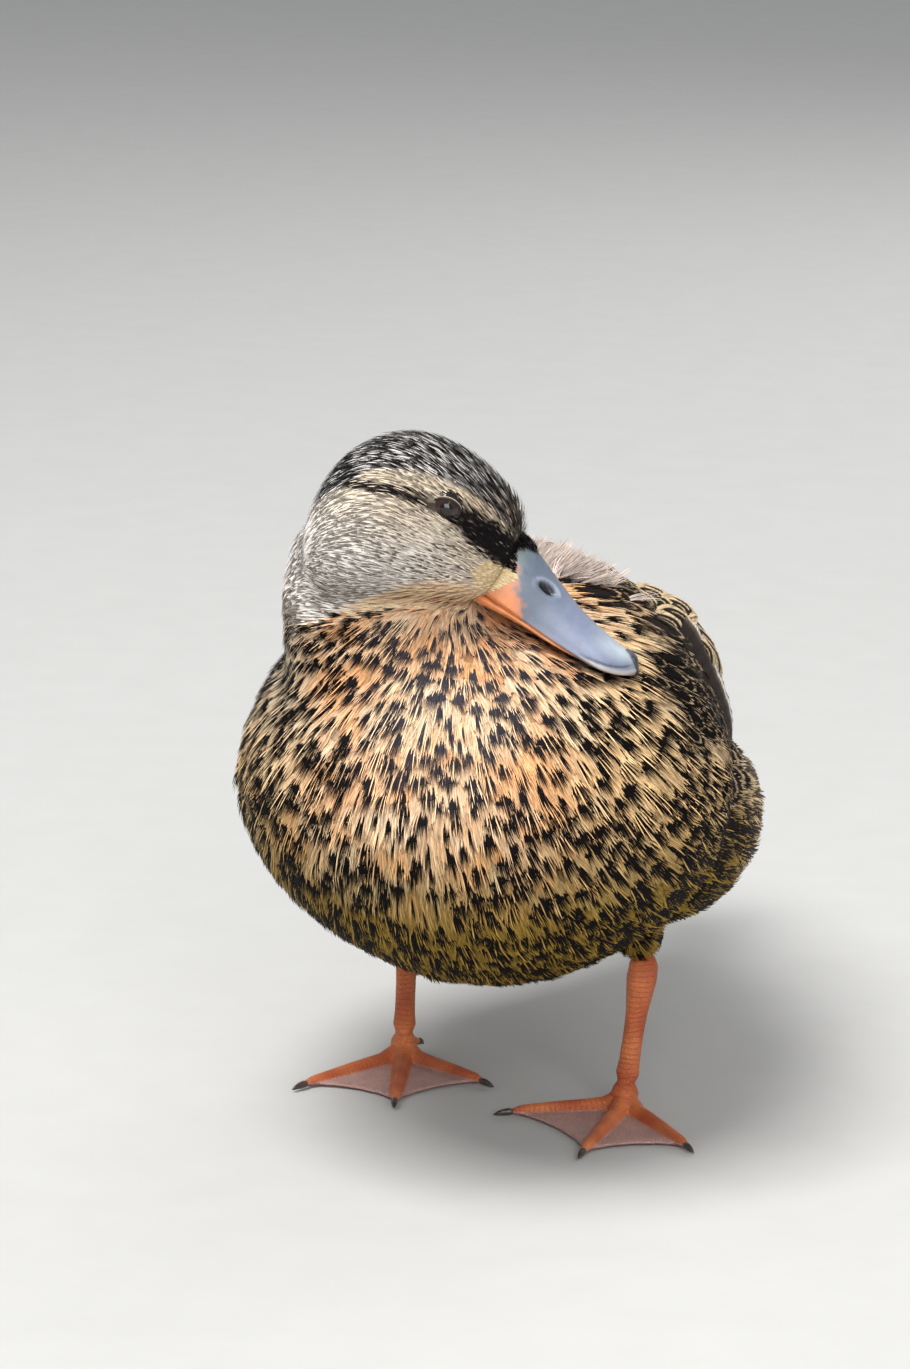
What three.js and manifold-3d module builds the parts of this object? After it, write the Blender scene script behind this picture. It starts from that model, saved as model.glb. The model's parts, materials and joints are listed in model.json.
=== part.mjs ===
// A hen mallard as a life-size standing model, in millimetres.
// +Z is up. The duck faces -Y, its left side is +X, and it stands on the plane Z = 0.
// Her head is turned over her left shoulder, with the bill resting on the breast.
import * as THREE from 'three';
import { mergeVertices } from 'three/addons/utils/BufferGeometryUtils.js';
import Module from 'manifold-3d';

const wasm = await Module();
wasm.setup();

// ---------------------------------------------------------------- driving dimensions
const GAP = 0.35;             // clearance between neighbouring pieces
const BREAST_FRONT = -141;    // foremost point of the breast
const VENT = 148;             // rear end of the trunk, under the tail
const TAIL_TIP = 204;         // rear end of the tail feathers
const BACK_TOP = 191;         // highest point of the back
const BELLY_LOW = 51;         // lowest point of the belly
const BREAST_HALF_WIDTH = 83.5;
const BACK_HALF_WIDTH = 63;   // half width of the back above the flanks

const HEAD_AT = [9.3, -88, 193.5];  // middle of the head between the corners of the mouth
const HEAD_TURN = 105;              // degrees from straight ahead, to her left
const BILL_DIP = 31;                // degrees that the bill points down
const HEAD_LENGTH = 68;             // from the base of the bill to the back of the head
const HEAD_HALF_WIDTH = 22.5;
const BILL_LENGTH = 56;             // from the corner of the mouth to the tip
const BILL_BASE_HEIGHT = 20;
const BILL_HALF_WIDTH = 11.4;       // at the widest place, near the tip
const EYE_RADIUS = 6.2;
const EYE_AT = [-26.3, 14.6, 19];   // in the head's own frame, for the eye on the left

const TARSUS = 43;            // from the ankle to the hock
const SHANK_RADIUS = 3.3;
const ANKLE_HEIGHT = 7.5;
const TOE_RADIUS = 2.9;
const TOE_SINK = 0.35;        // how far each toe is flattened by the floor
const WEB_THICKNESS = 1.2;
const WEB_CLEARANCE = 0.4;    // the webs stay this far above the floor
const PAD = { radius: 4.6, height: 3, forward: 1.5 };  // the flat pad under the ankle
const HALLUX = { length: 11, lift: 4.2, splay: 24 };   // the small raised hind toe
const CLAW_LENGTH = 7;
const CLAW_HEIGHT = 1.7;

const FEET = {
  left: { at: [42.3, -18.5], heading: 4.6, innerSplay: 64, outerSplay: 42, hock: [4, 11] },
  right: { at: [-43.2, 19.1], heading: 10, innerSplay: 47, outerSplay: 44, hock: [-1, 11] },
};
const TOES = [
  { name: 'inner', length: 39, joints: 2, splay: 'innerSplay', side: 1 },
  { name: 'middle', length: 50, joints: 3, splay: null, side: 0 },
  { name: 'outer', length: 46, joints: 3, splay: 'outerSplay', side: -1 },
];

// ---------------------------------------------------------------- finishes
const FINISHES = {
  plumage: { color: 0xb08a55, roughness: 0.9 },
  head: { color: 0x9a8a75, roughness: 0.9 },
  wing: { color: 0x6a543c, roughness: 0.85 },
  bill: { color: 0x7d8794, roughness: 0.45 },
  billLower: { color: 0xc97a3c, roughness: 0.5 },
  nail: { color: 0x43464c, roughness: 0.4 },
  eye: { color: 0x1c120b, roughness: 0.1 },
  leg: { color: 0xc8592c, roughness: 0.55 },
  claw: { color: 0x35302d, roughness: 0.4 },
};

const duck = new THREE.Group();
const headGroup = new THREE.Group();
duck.add(headGroup);

// ---------------------------------------------------------------- shared functions
const radians = THREE.MathUtils.degToRad;

/** How far a ring of a rounded body has opened, from 0 at either end to 1 between them. */
function openness(along, nose, tail) {
  const start = Math.max(0, 1 - along / nose);
  const end = Math.max(0, 1 - (1 - along) / tail);
  return Math.sqrt(Math.max(0, 1 - start * start)) * Math.sqrt(Math.max(0, 1 - end * end));
}

/**
 * A closed round body along a path. Each station gives a place and how far the section
 * reaches to the sides (wide), up and down. A sphere's rings are carried to the path.
 * A fullness or keel of 2 makes the upper or lower half an ellipse, and less makes it leaner.
 */
function loft({
  stations, around, rings, upward = [0, 0, 1], nose = 0.2, tail = 0.2, fullness = 2, keel = fullness,
}) {
  const path = new THREE.CatmullRomCurve3(stations.map(({ at }) => new THREE.Vector3(...at)));
  const reach = new THREE.CatmullRomCurve3(
    stations.map(({ wide, up, down = up }) => new THREE.Vector3(wide, up, down)),
  );
  const geometry = new THREE.SphereGeometry(1, around, rings);
  const position = geometry.attributes.position;
  const upVector = new THREE.Vector3(...upward).normalize();
  const point = new THREE.Vector3();
  for (let index = 0; index < position.count; index += 1) {
    point.fromBufferAttribute(position, index);
    const along = THREE.MathUtils.clamp((1 - point.y) / 2, 0, 1);
    const angle = Math.atan2(point.z, point.x);
    const tangent = path.getTangent(along);
    const side = new THREE.Vector3().crossVectors(upVector, tangent).normalize();
    const rise = new THREE.Vector3().crossVectors(tangent, side);
    const size = reach.getPoint(along);
    const across = Math.cos(angle);
    const height = Math.sin(angle);
    const power = height > 0 ? fullness : keel;
    const sum = Math.abs(across) ** power + Math.abs(height) ** power;
    const open = openness(along, nose, tail) / sum ** (1 / power);
    path.getPoint(along, point);
    point.addScaledVector(side, across * size.x * open);
    point.addScaledVector(rise, height * (height > 0 ? size.y : size.z) * open);
    position.setXYZ(index, point.x, point.y, point.z);
  }
  return bare(geometry);
}

/** The geometry with positions only and its shared corners joined. */
function bare(geometry) {
  geometry.deleteAttribute('normal');
  geometry.deleteAttribute('uv');
  return mergeVertices(geometry, 1e-4);
}

/** A copy of a geometry moved outwards along its own normals. */
function swollen(geometry, distance = GAP) {
  const copy = geometry.clone();
  copy.computeVertexNormals();
  const { position, normal } = copy.attributes;
  for (let index = 0; index < position.count; index += 1) {
    position.setXYZ(
      index,
      position.getX(index) + normal.getX(index) * distance,
      position.getY(index) + normal.getY(index) * distance,
      position.getZ(index) + normal.getZ(index) * distance,
    );
  }
  copy.deleteAttribute('normal');
  return copy;
}

/** A copy of a geometry mirrored from the left side to the right, faces still outwards. */
function mirrored(geometry, axis = 'x') {
  const copy = geometry.clone();
  const flip = { x: [-1, 1, 1], y: [1, -1, 1] }[axis];
  copy.scale(...flip);
  const index = copy.getIndex();
  for (let corner = 0; corner < index.count; corner += 3) {
    const first = index.getX(corner);
    index.setX(corner, index.getX(corner + 1));
    index.setX(corner + 1, first);
  }
  return copy;
}

/** The geometry as a solid that can be cut and joined. */
function solid(geometry, matrix = new THREE.Matrix4()) {
  const placed = geometry.clone().applyMatrix4(matrix);
  return new wasm.Manifold(new wasm.Mesh({
    numProp: 3,
    vertProperties: new Float32Array(placed.attributes.position.array),
    triVerts: new Uint32Array(placed.getIndex().array),
  }));
}

/** One solid joined from several. */
function joined(solids) {
  return solids.reduce((whole, piece) => whole.add(piece));
}

/** A solid less all the others. */
function cut(whole, tools) {
  return tools.reduce((rest, tool) => rest.subtract(tool), whole);
}

/** Adds a named mesh of a solid to a group. */
function addPiece(group, name, piece, finish) {
  const { vertProperties, triVerts } = piece.getMesh();
  const geometry = new THREE.BufferGeometry();
  geometry.setAttribute('position', new THREE.BufferAttribute(new Float32Array(vertProperties), 3));
  geometry.setIndex(new THREE.BufferAttribute(new Uint32Array(triVerts), 1));
  geometry.computeVertexNormals();
  const material = new THREE.MeshStandardMaterial({ metalness: 0, ...FINISHES[finish] });
  const mesh = new THREE.Mesh(geometry, material);
  mesh.name = name;
  group.add(mesh);
  return mesh;
}

/** Stations from rows of numbers: place x, y, z, then half width, reach up and reach down. */
function stationsFrom(rows) {
  return rows.map(([x, y, z, wide, up, down]) => ({ at: [x, y, z], wide, up, down }));
}

// ---------------------------------------------------------------- head, bill and eyes
// In the head's own frame +X runs along the mouth to the tip of the bill, +Y is her left
// and +Z is up through the crown. Its origin is midway between the corners of the mouth.
headGroup.position.set(...HEAD_AT);
headGroup.rotation.set(0, radians(BILL_DIP), radians(HEAD_TURN - 90), 'ZYX');
headGroup.updateMatrix();
const headMatrix = headGroup.matrix;

const backOfHead = 7 - HEAD_LENGTH;
const headForm = loft({
  around: 20,
  rings: 15,
  nose: 0.32,
  tail: 0.14,
  stations: stationsFrom([
    [backOfHead, 0, 0, HEAD_HALF_WIDTH * 0.95, 30, 34],
    [-47, 0, 1, HEAD_HALF_WIDTH, 30.5, 31],
    [-34, 0, 2, HEAD_HALF_WIDTH, 33, 24],
    [-20, 0, 3, HEAD_HALF_WIDTH * 0.9, 32.5, 17],
    [-7, 0, 4, HEAD_HALF_WIDTH * 0.66, 28, 12],
    [7, 0, 5, 10.5, 18, 9],
  ]),
});

const billUpperForm = loft({
  around: 16,
  rings: 13,
  nose: 0.1,
  tail: 0.3,
  fullness: 2.2,
  stations: stationsFrom([
    [-7, 0, 2, 9.5, BILL_BASE_HEIGHT - 1, 3],
    [6, 0, 0.5, 10, BILL_BASE_HEIGHT - 1, 2.6],
    [19, 0, -1, BILL_HALF_WIDTH * 0.83, 15.2, 2.2],
    [32, 0, -1.8, BILL_HALF_WIDTH * 0.9, 11, 2],
    [45, 0, -1.6, BILL_HALF_WIDTH, 8.4, 1.8],
    [BILL_LENGTH, 0, 0.6, BILL_HALF_WIDTH * 0.92, 8, 1.8],
  ]),
});

const billLowerForm = loft({
  around: 14,
  rings: 8,
  nose: 0.1,
  tail: 0.3,
  stations: stationsFrom([
    [-7, 0, -2, 8.8, 2, 4],
    [12, 0, -2.8, 8.8, 2, 2.6],
    [32, 0, -3.8, BILL_HALF_WIDTH * 0.8, 1.8, 1.5],
    [BILL_LENGTH - 4, 0, -1.6, BILL_HALF_WIDTH * 0.76, 1.3, 1.2],
  ]),
});

const nailForm = loft({
  around: 10,
  rings: 6,
  nose: 0.5,
  tail: 0.5,
  stations: stationsFrom([
    [BILL_LENGTH - 7, 0, 5.4, 3.4, 1.4, 1.6],
    [BILL_LENGTH - 2.5, 0, 4, 4, 1.6, 2.6],
    [BILL_LENGTH + 0.8, 0, 1, 3, 1.2, 2.4],
  ]),
});

const eyeLeftForm = bare(new THREE.SphereGeometry(EYE_RADIUS, 11, 8));
eyeLeftForm.translate(...EYE_AT);
const eyeRightForm = mirrored(eyeLeftForm, 'y');

const headTools = [billUpperForm, billLowerForm, eyeLeftForm, eyeRightForm];
addPiece(headGroup, 'head', cut(solid(headForm), headTools.map((form) => solid(swollen(form)))), 'head');
addPiece(headGroup, 'bill_upper', cut(solid(billUpperForm), [solid(swollen(nailForm))]), 'bill');
const lowerTools = [solid(swollen(billUpperForm)), solid(swollen(nailForm))];
addPiece(headGroup, 'bill_lower', cut(solid(billLowerForm), lowerTools), 'billLower');
addPiece(headGroup, 'bill_nail', solid(nailForm), 'nail');
addPiece(headGroup, 'eye_left', solid(eyeLeftForm), 'eye');
addPiece(headGroup, 'eye_right', solid(eyeRightForm), 'eye');

/** The head and bill where they stand on the body, grown by the gap. */
const headCutters = [headForm, billUpperForm, billLowerForm, nailForm].map(
  (form) => solid(swollen(form), headMatrix),
);

// ---------------------------------------------------------------- trunk, flanks and neck
const trunkForm = loft({
  around: 26,
  rings: 16,
  nose: 0.36,
  tail: 0.14,
  keel: 1.85,
  stations: stationsFrom([
    [1, BREAST_FRONT, 122, BREAST_HALF_WIDTH * 0.96, BACK_TOP - 126, 64],
    [1, -93, 122, BREAST_HALF_WIDTH, BACK_TOP - 122, 66],
    [1, -45, 120, BREAST_HALF_WIDTH, BACK_TOP - 120, 120 - BELLY_LOW],
    [0, 3, 113, BACK_HALF_WIDTH * 1.05, BACK_TOP - 117, 113 - BELLY_LOW],
    [0, 51, 108, BACK_HALF_WIDTH * 0.95, 64, 55],
    [0, 100, 104, BACK_HALF_WIDTH * 0.72, 46, 40],
    [0, VENT, 106, BACK_HALF_WIDTH * 0.33, 18, 18],
  ]),
});

const flankLeftForm = loft({
  around: 16,
  rings: 10,
  upward: [-0.2, 0, 1],
  nose: 0.3,
  tail: 0.4,
  stations: stationsFrom([
    [42, -72, 104, 34, 32, 32],
    [50, -28, 99, 31, 28, 32],
    [52, 14, 96, 30.5, 26, 31],
    [44, 56, 95, 27, 22, 27],
    [26, 98, 98, 19, 16, 19],
  ]),
});
const flankRightForm = mirrored(flankLeftForm);

const neckForm = loft({
  around: 18,
  rings: 9,
  upward: [0, 1, 0],
  nose: 0.3,
  tail: 0.2,
  stations: stationsFrom([
    [-34, -91, 219, 23, 23, 20],
    [-32, -84, 195, 27, 27, 24],
    [-26, -76, 173, 36, 37, 36],
    [-13, -68, 149, 54, 50, 48],
    [-5, -62, 125, 62, 50, 48],
  ]),
});

// ---------------------------------------------------------------- wings and tail
const wingLeftForm = loft({
  around: 12,
  rings: 11,
  upward: [-0.45, 0, 1],
  nose: 0.22,
  tail: 0.2,
  fullness: 2.4,
  stations: stationsFrom([
    [64, -50, 131, 5, 14, 14],
    [60.5, -16, 138, 8, 25, 22],
    [54, 24, 138, 8.5, 28, 25],
    [48, 62, 131, 8, 26, 22],
    [37.5, 98, 125, 6.5, 20, 16],
    [23, 134, 120, 4, 12, 9],
    [10, 176, 117, 2, 8, 5],
  ]),
});
const wingRightForm = mirrored(wingLeftForm);

const tailForm = loft({
  around: 14,
  rings: 8,
  nose: 0.3,
  tail: 0.35,
  stations: stationsFrom([
    [0, 108, 112, 20, 5, 5],
    [0, 140, 110, 27, 4, 4],
    [0, 172, 106, 26, 2.6, 2.6],
    [0, TAIL_TIP, 101, 16, 1.4, 1.4],
  ]),
});

// ---------------------------------------------------------------- legs
/** The place of a foot's ankle and hock on the model. */
function legPoints({ at: [x, y], hock: [out, back] }) {
  const rise = Math.sqrt(TARSUS ** 2 - out ** 2 - back ** 2);
  return {
    ankle: new THREE.Vector3(x, y, ANKLE_HEIGHT),
    hock: new THREE.Vector3(x + out, y + back, ANKLE_HEIGHT + rise),
  };
}

/** The bare shank, from just above the foot to the hock. */
function shankForm(foot) {
  const { ankle, hock } = legPoints(foot);
  const station = (share, across, deep) => ({
    at: ankle.clone().lerp(hock, share).toArray(),
    wide: SHANK_RADIUS * across,
    up: SHANK_RADIUS * deep,
  });
  return loft({
    around: 10,
    rings: 11,
    upward: [0, 1, 0],
    nose: 0.08,
    tail: 0.14,
    stations: [
      station(0.05, 1.3, 1.2),
      station(0.25, 1, 1.15),
      station(0.45, 0.98, 1.2),
      station(0.65, 1.1, 1.3),
      station(0.85, 1.5, 1.5),
      station(1.1, 1.6, 1.8),
    ],
  });
}

/** The feathered thigh above the hock, reaching up and forward into the body. */
function thighForm(foot) {
  const { hock } = legPoints(foot);
  const inward = -Math.sign(hock.x);
  return loft({
    around: 12,
    rings: 7,
    upward: [0, 1, 0],
    nose: 0.3,
    tail: 0.2,
    stations: stationsFrom([
      [hock.x, hock.y + 1, hock.z + 2, 5.8, 6.2],
      [hock.x + inward, hock.y - 2, hock.z + 9, 7.6, 9],
      [hock.x + inward * 3, hock.y - 8, hock.z + 22, 13, 16],
      [hock.x + inward * 5, hock.y - 14, hock.z + 38, 17, 22],
    ]),
  });
}

/** A toe on the floor in the foot's own frame, pointing to -Y before it is splayed. */
function toeForm({ length, joints }) {
  const firstKnuckle = 0.16;
  const bone = (1 - firstKnuckle) / joints;
  const stations = [{ at: [0, 2, ANKLE_HEIGHT], wide: TOE_RADIUS * 1.1, up: TOE_RADIUS * 1.2 }];
  for (let joint = 0; joint <= joints; joint += 1) {
    const share = firstKnuckle + bone * joint;
    const radius = TOE_RADIUS * (1.1 - 0.42 * share);
    stations.push({ at: [0, -length * share, radius - TOE_SINK], wide: radius * 1.08, up: radius });
    if (joint < joints) {
      const half = share + bone / 2;
      const slim = radius * 0.86;
      stations.push({ at: [0, -length * half, slim - TOE_SINK / 3], wide: slim, up: slim });
    }
  }
  return loft({ around: 8, rings: 10, nose: 0.12, tail: 0.1, stations });
}

/** A curved claw that starts a gap beyond a toe's tip. */
function clawForm(length, reach, height) {
  const start = -length - GAP;
  return loft({
    around: 6,
    rings: 5,
    nose: 0.16,
    tail: 0.5,
    stations: stationsFrom([
      [0, start, height, 1.5, 1.5],
      [0, start - reach * 0.5, height * 0.95, 1.2, 1.3],
      [0, start - reach, height * 0.5, 0.5, 0.5],
    ]),
  });
}

/** Direction on the floor of a toe that is splayed from straight ahead (-Y). */
function toeTip(angle, length) {
  return new THREE.Vector2(Math.sin(angle) * length, -Math.cos(angle) * length);
}

/** The webs between the three front toes, with hollow front edges. */
function webForm(angles) {
  const heel = 3;
  const reach = 0.93;   // share of a toe's length that the web follows
  const hollow = 0.8;   // how far the web's edge stays out, halfway between two toes
  const outline = new THREE.Shape();
  outline.moveTo(0, heel);
  const tips = angles.map((angle, index) => toeTip(angle, TOES[index].length * reach));
  outline.lineTo(tips[0].x, tips[0].y);
  for (let gap = 0; gap < tips.length - 1; gap += 1) {
    const middle = tips[gap].clone().lerp(tips[gap + 1], 0.5).multiplyScalar(hollow);
    outline.quadraticCurveTo(middle.x, middle.y, tips[gap + 1].x, tips[gap + 1].y);
  }
  outline.closePath();
  const geometry = new THREE.ExtrudeGeometry(outline, {
    depth: WEB_THICKNESS,
    bevelEnabled: false,
    curveSegments: 4,
  });
  geometry.translate(0, 0, WEB_CLEARANCE);
  return bare(geometry);
}

/** The small hind toe in the foot's own frame, pointing to -Y before it is turned back. */
function halluxForm() {
  return loft({
    around: 8,
    rings: 6,
    nose: 0.2,
    tail: 0.2,
    stations: stationsFrom([
      [0, 1, ANKLE_HEIGHT - 0.5, 2.2, 2.2],
      [0, -HALLUX.length * 0.5, HALLUX.lift + 1.2, 1.9, 1.9],
      [0, -HALLUX.length, HALLUX.lift, 1.8, 1.8],
    ]),
  });
}

/** The ankle's knuckle in the foot's own frame. */
function knuckleForm() {
  return loft({
    around: 8,
    rings: 6,
    upward: [0, 1, 0],
    nose: 0.5,
    tail: 0.5,
    stations: stationsFrom([
      [0, 0, 1.6, 4.6, 5],
      [0, 0, ANKLE_HEIGHT - 1, 4.9, 5],
      [0, 0.4, ANKLE_HEIGHT + 4, 4.2, 4.2],
    ]),
  });
}

/** The pad under the ankle, reaching below the floor so that it is cut flat. */
function padForm() {
  const geometry = new THREE.CylinderGeometry(PAD.radius * 0.8, PAD.radius, PAD.height * 2, 8);
  geometry.rotateX(Math.PI / 2);
  geometry.translate(0, -PAD.forward, 0);
  return bare(geometry);
}

/** Everything below the plane that the duck stands on. */
function floorForm() {
  const geometry = new THREE.BoxGeometry(400, 400, 40);
  geometry.translate(0, 0, -20);
  return bare(geometry);
}

/** A turn about the vertical, as a matrix. */
function turned(angle) {
  return new THREE.Matrix4().makeRotationZ(angle);
}

/** Adds one whole leg: thigh, shank, foot and claws. Returns what the trunk is cut by. */
function addLeg(side, trunkCutter) {
  const foot = FEET[side];
  const outward = side === 'left' ? 1 : -1;
  const group = new THREE.Group();
  group.position.set(foot.at[0], foot.at[1], 0);
  group.rotation.z = -radians(foot.heading) * outward;
  group.updateMatrix();
  duck.add(group);

  const angles = TOES.map(({ splay, side: toSide }) => (
    splay ? -outward * toSide * radians(foot[splay]) : 0
  ));
  const halluxTurn = turned(Math.PI + outward * radians(HALLUX.splay));
  const footWhole = joined([
    ...TOES.map((toe, index) => solid(toeForm(toe), turned(angles[index]))),
    solid(webForm(angles)),
    solid(halluxForm(), halluxTurn),
    solid(knuckleForm()),
    solid(padForm()),
  ]);
  const shank = shankForm(foot);
  const shankCutter = solid(swollen(shank), group.matrix.clone().invert());
  addPiece(group, `foot_${side}`, cut(footWhole, [solid(floorForm()), shankCutter]), 'leg');

  TOES.forEach(({ name, length }, index) => {
    const claw = solid(clawForm(length, CLAW_LENGTH, CLAW_HEIGHT), turned(angles[index]));
    addPiece(group, `claw_${side}_${name}`, claw, 'claw');
  });
  const hindClaw = solid(clawForm(HALLUX.length, CLAW_LENGTH * 0.6, HALLUX.lift), halluxTurn);
  addPiece(group, `claw_${side}_hind`, hindClaw, 'claw');

  addPiece(duck, `leg_${side}`, solid(shank), 'leg');
  const thigh = cut(solid(thighForm(foot)), [solid(swollen(shank)), ...trunkCutter]);
  addPiece(duck, `thigh_${side}`, thigh, 'plumage');
  return shank;
}

// ---------------------------------------------------------------- putting the body together
const flanks = [flankLeftForm, flankRightForm];
const bodyCutter = [trunkForm, ...flanks].map((form) => solid(swollen(form)));
const shanks = Object.keys(FEET).map((side) => addLeg(side, bodyCutter));

const wingForms = { left: wingLeftForm, right: wingRightForm };
Object.entries(wingForms).forEach(([side, form]) => {
  const wing = cut(solid(form), flanks.map((flank) => solid(swollen(flank))));
  addPiece(duck, `wing_${side}`, wing, 'wing');
});

const pockets = [wingLeftForm, wingRightForm, tailForm].map((form) => solid(swollen(form)));
const body = joined([cut(solid(trunkForm), pockets), ...flanks.map((form) => solid(form))]);
const trunkTools = [solid(swollen(neckForm)), solid(swollen(tailForm)), ...headCutters];
const shankCutters = shanks.map((form) => solid(swollen(form)));
addPiece(duck, 'trunk', cut(body, [...trunkTools, ...shankCutters]), 'plumage');
addPiece(duck, 'neck', cut(solid(neckForm), headCutters), 'plumage');
const wingCutters = Object.values(wingForms).map((form) => solid(swollen(form)));
addPiece(duck, 'tail', cut(solid(tailForm), wingCutters), 'wing');

// ---------------------------------------------------------------- the part's origin
duck.updateMatrixWorld(true);
const box = new THREE.Box3().setFromObject(duck, true);
const middle = box.getCenter(new THREE.Vector3());
duck.position.set(-middle.x, -middle.y, -box.min.z);

export default duck;
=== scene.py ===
"""A hen mallard as a life-size standing model, dressed in feathers over its solid frame."""
import json
import logging
from contextlib import contextmanager
from dataclasses import dataclass, field
from enum import Enum, IntEnum
from math import cos, dist, pi, radians, sin, sqrt
from typing import Callable, Iterator, Optional, Sequence

import bpy
import numpy as np
from mathutils import Matrix, Vector
from mathutils.bvhtree import BVHTree

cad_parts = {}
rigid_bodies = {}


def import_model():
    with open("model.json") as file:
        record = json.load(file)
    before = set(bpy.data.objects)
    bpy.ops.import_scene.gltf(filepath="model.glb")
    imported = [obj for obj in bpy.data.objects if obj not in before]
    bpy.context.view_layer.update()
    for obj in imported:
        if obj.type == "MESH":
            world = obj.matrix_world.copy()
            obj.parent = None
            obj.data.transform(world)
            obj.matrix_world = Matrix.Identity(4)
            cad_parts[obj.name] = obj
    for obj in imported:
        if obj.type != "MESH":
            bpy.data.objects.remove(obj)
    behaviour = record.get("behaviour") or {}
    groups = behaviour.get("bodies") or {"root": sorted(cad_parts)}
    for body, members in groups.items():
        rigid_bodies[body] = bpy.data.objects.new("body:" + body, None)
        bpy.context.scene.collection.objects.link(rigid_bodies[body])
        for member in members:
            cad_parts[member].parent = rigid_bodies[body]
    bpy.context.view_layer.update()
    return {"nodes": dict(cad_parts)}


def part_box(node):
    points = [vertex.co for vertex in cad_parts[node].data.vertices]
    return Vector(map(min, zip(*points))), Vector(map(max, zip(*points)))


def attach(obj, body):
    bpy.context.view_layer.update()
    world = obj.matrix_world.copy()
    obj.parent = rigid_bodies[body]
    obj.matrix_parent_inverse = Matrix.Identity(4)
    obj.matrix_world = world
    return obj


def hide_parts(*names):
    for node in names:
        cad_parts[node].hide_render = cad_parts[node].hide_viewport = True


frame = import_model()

BODY = "root"
MM = 0.001
BAKE_MAP = "OFBake"
VANE_MAP = "Vane"
BAKE_PATCH = 0.003
Array = np.ndarray
Dice = np.random.Generator
Mesh = bpy.types.Mesh
Piece = bpy.types.Object
Socket = bpy.types.NodeSocket
Material = bpy.types.Material
Colour = tuple[int, int, int]
Curve = tuple[float, ...]
Pair = tuple[float, float]
Rule = Callable[[Array], Array]

log = logging.getLogger("duck")


# ---- numbers and places
def ease(low: float, high: float, value: Array) -> Array:
    """Ease from 0 to 1 as a value goes from low to high.

    Args:
        low: Where the step starts; it may be above high, and then the step falls.
        high: Where the step ends.
        value: The numbers to ease.

    Returns:
        The eased numbers, from 0 to 1.
    """
    share = np.clip((value - low) / (high - low), 0.0, 1.0)
    return share * share * (3.0 - 2.0 * share)


def blend(first: Array, second: Array, share: Array) -> Array:
    """Mix two values or rows of values.

    Args:
        first: What a share of 0 gives, a number, a row or many rows.
        second: What a share of 1 gives.
        share: One number for each row of the result.

    Returns:
        The mixed rows, or numbers where both ends are numbers.
    """
    first, second, share = np.asarray(first, float), np.asarray(second, float), np.asarray(share)
    if first.ndim or second.ndim:
        if first.shape[-1:] == (3,) or second.shape[-1:] == (3,):
            share = share[..., None]
    return first * (1.0 - share) + second * share


def unit(rows: Array) -> Array:
    """Rows of vectors brought to length one."""
    return rows / np.maximum(np.linalg.norm(rows, axis=-1, keepdims=True), 1e-9)


def vec(*parts: float) -> Array:
    """A few numbers as one row."""
    return np.array(parts, float)


def distance(rows: Array) -> Array:
    """The lengths of rows of vectors."""
    return np.linalg.norm(rows, axis=1)


def laid_on(heading: Array, outward: Array) -> Array:
    """Headings brought down onto a surface that faces outward."""
    return unit(heading - outward * (heading * outward).sum(axis=-1, keepdims=True))


def turned(x: Array, z: Array, degrees: float) -> tuple[Array, Array]:
    """Two rows of distances, turned about their zero."""
    lean = radians(degrees)
    return x * cos(lean) - z * sin(lean), x * sin(lean) + z * cos(lean)


def no_rows(width: int) -> Array:
    """A class's field that starts as an array with no rows."""
    return field(default_factory=lambda: np.zeros((0, width)))


def tint(red: int, green: int, blue: int) -> Array:
    """A colour given as a painter's 0-255 values, as linear light."""
    share = vec(red, green, blue) / 255.0
    return np.where(share <= 0.04045, share / 12.92, ((share + 0.055) / 1.055) ** 2.4)


def painted(tone: Array, *layers: tuple[Colour, Array]) -> Array:
    """A tone with other colours laid over it in turn, each by its share.

    Args:
        tone: One colour or a row for each place, as linear light.
        *layers: Pairs of a painter's colour and the share of it at each place.

    Returns:
        A row for each place.
    """
    for colour, share in layers:
        tone = blend(tone, tint(*colour), share)
    return tone


def curve_through(places: Sequence[float], values: Sequence[float], at: Array) -> Array:
    """A smooth curve through a few values, flat-ended like a bent batten.

    Args:
        places: Where the values stand, rising.
        values: The values there.
        at: Where the curve is read.

    Returns:
        The curve's values.
    """
    x, y = np.asarray(places, float), np.asarray(values, float)
    slope = np.gradient(y, x)
    index = np.clip(np.searchsorted(x, at) - 1, 0, len(x) - 2)
    width = x[index + 1] - x[index]
    t = np.clip((at - x[index]) / width, 0.0, 1.0)
    h00 = 2 * t ** 3 - 3 * t ** 2 + 1
    h10 = t ** 3 - 2 * t ** 2 + t
    return (h00 * y[index] + h10 * width * slope[index]
            + (1 - h00) * y[index + 1] + (t ** 3 - t ** 2) * width * slope[index + 1])


def value_noise(points: Array, scale: float, seed: int) -> Array:
    """Smooth random patches in space, from -1 to 1, the same each run.

    Args:
        points: Places in millimetres.
        scale: Size of a patch in millimetres.
        seed: Which pattern.

    Returns:
        One number for each place.
    """
    rng = np.random.default_rng(seed)
    total = np.zeros(len(points))
    for _ in range(5):
        direction = unit(rng.normal(size=3)) / scale
        total += np.sin(points @ direction * 2.6 * rng.uniform(0.7, 1.4) + rng.uniform(0, 6.28))
    return total / 3.2


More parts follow.
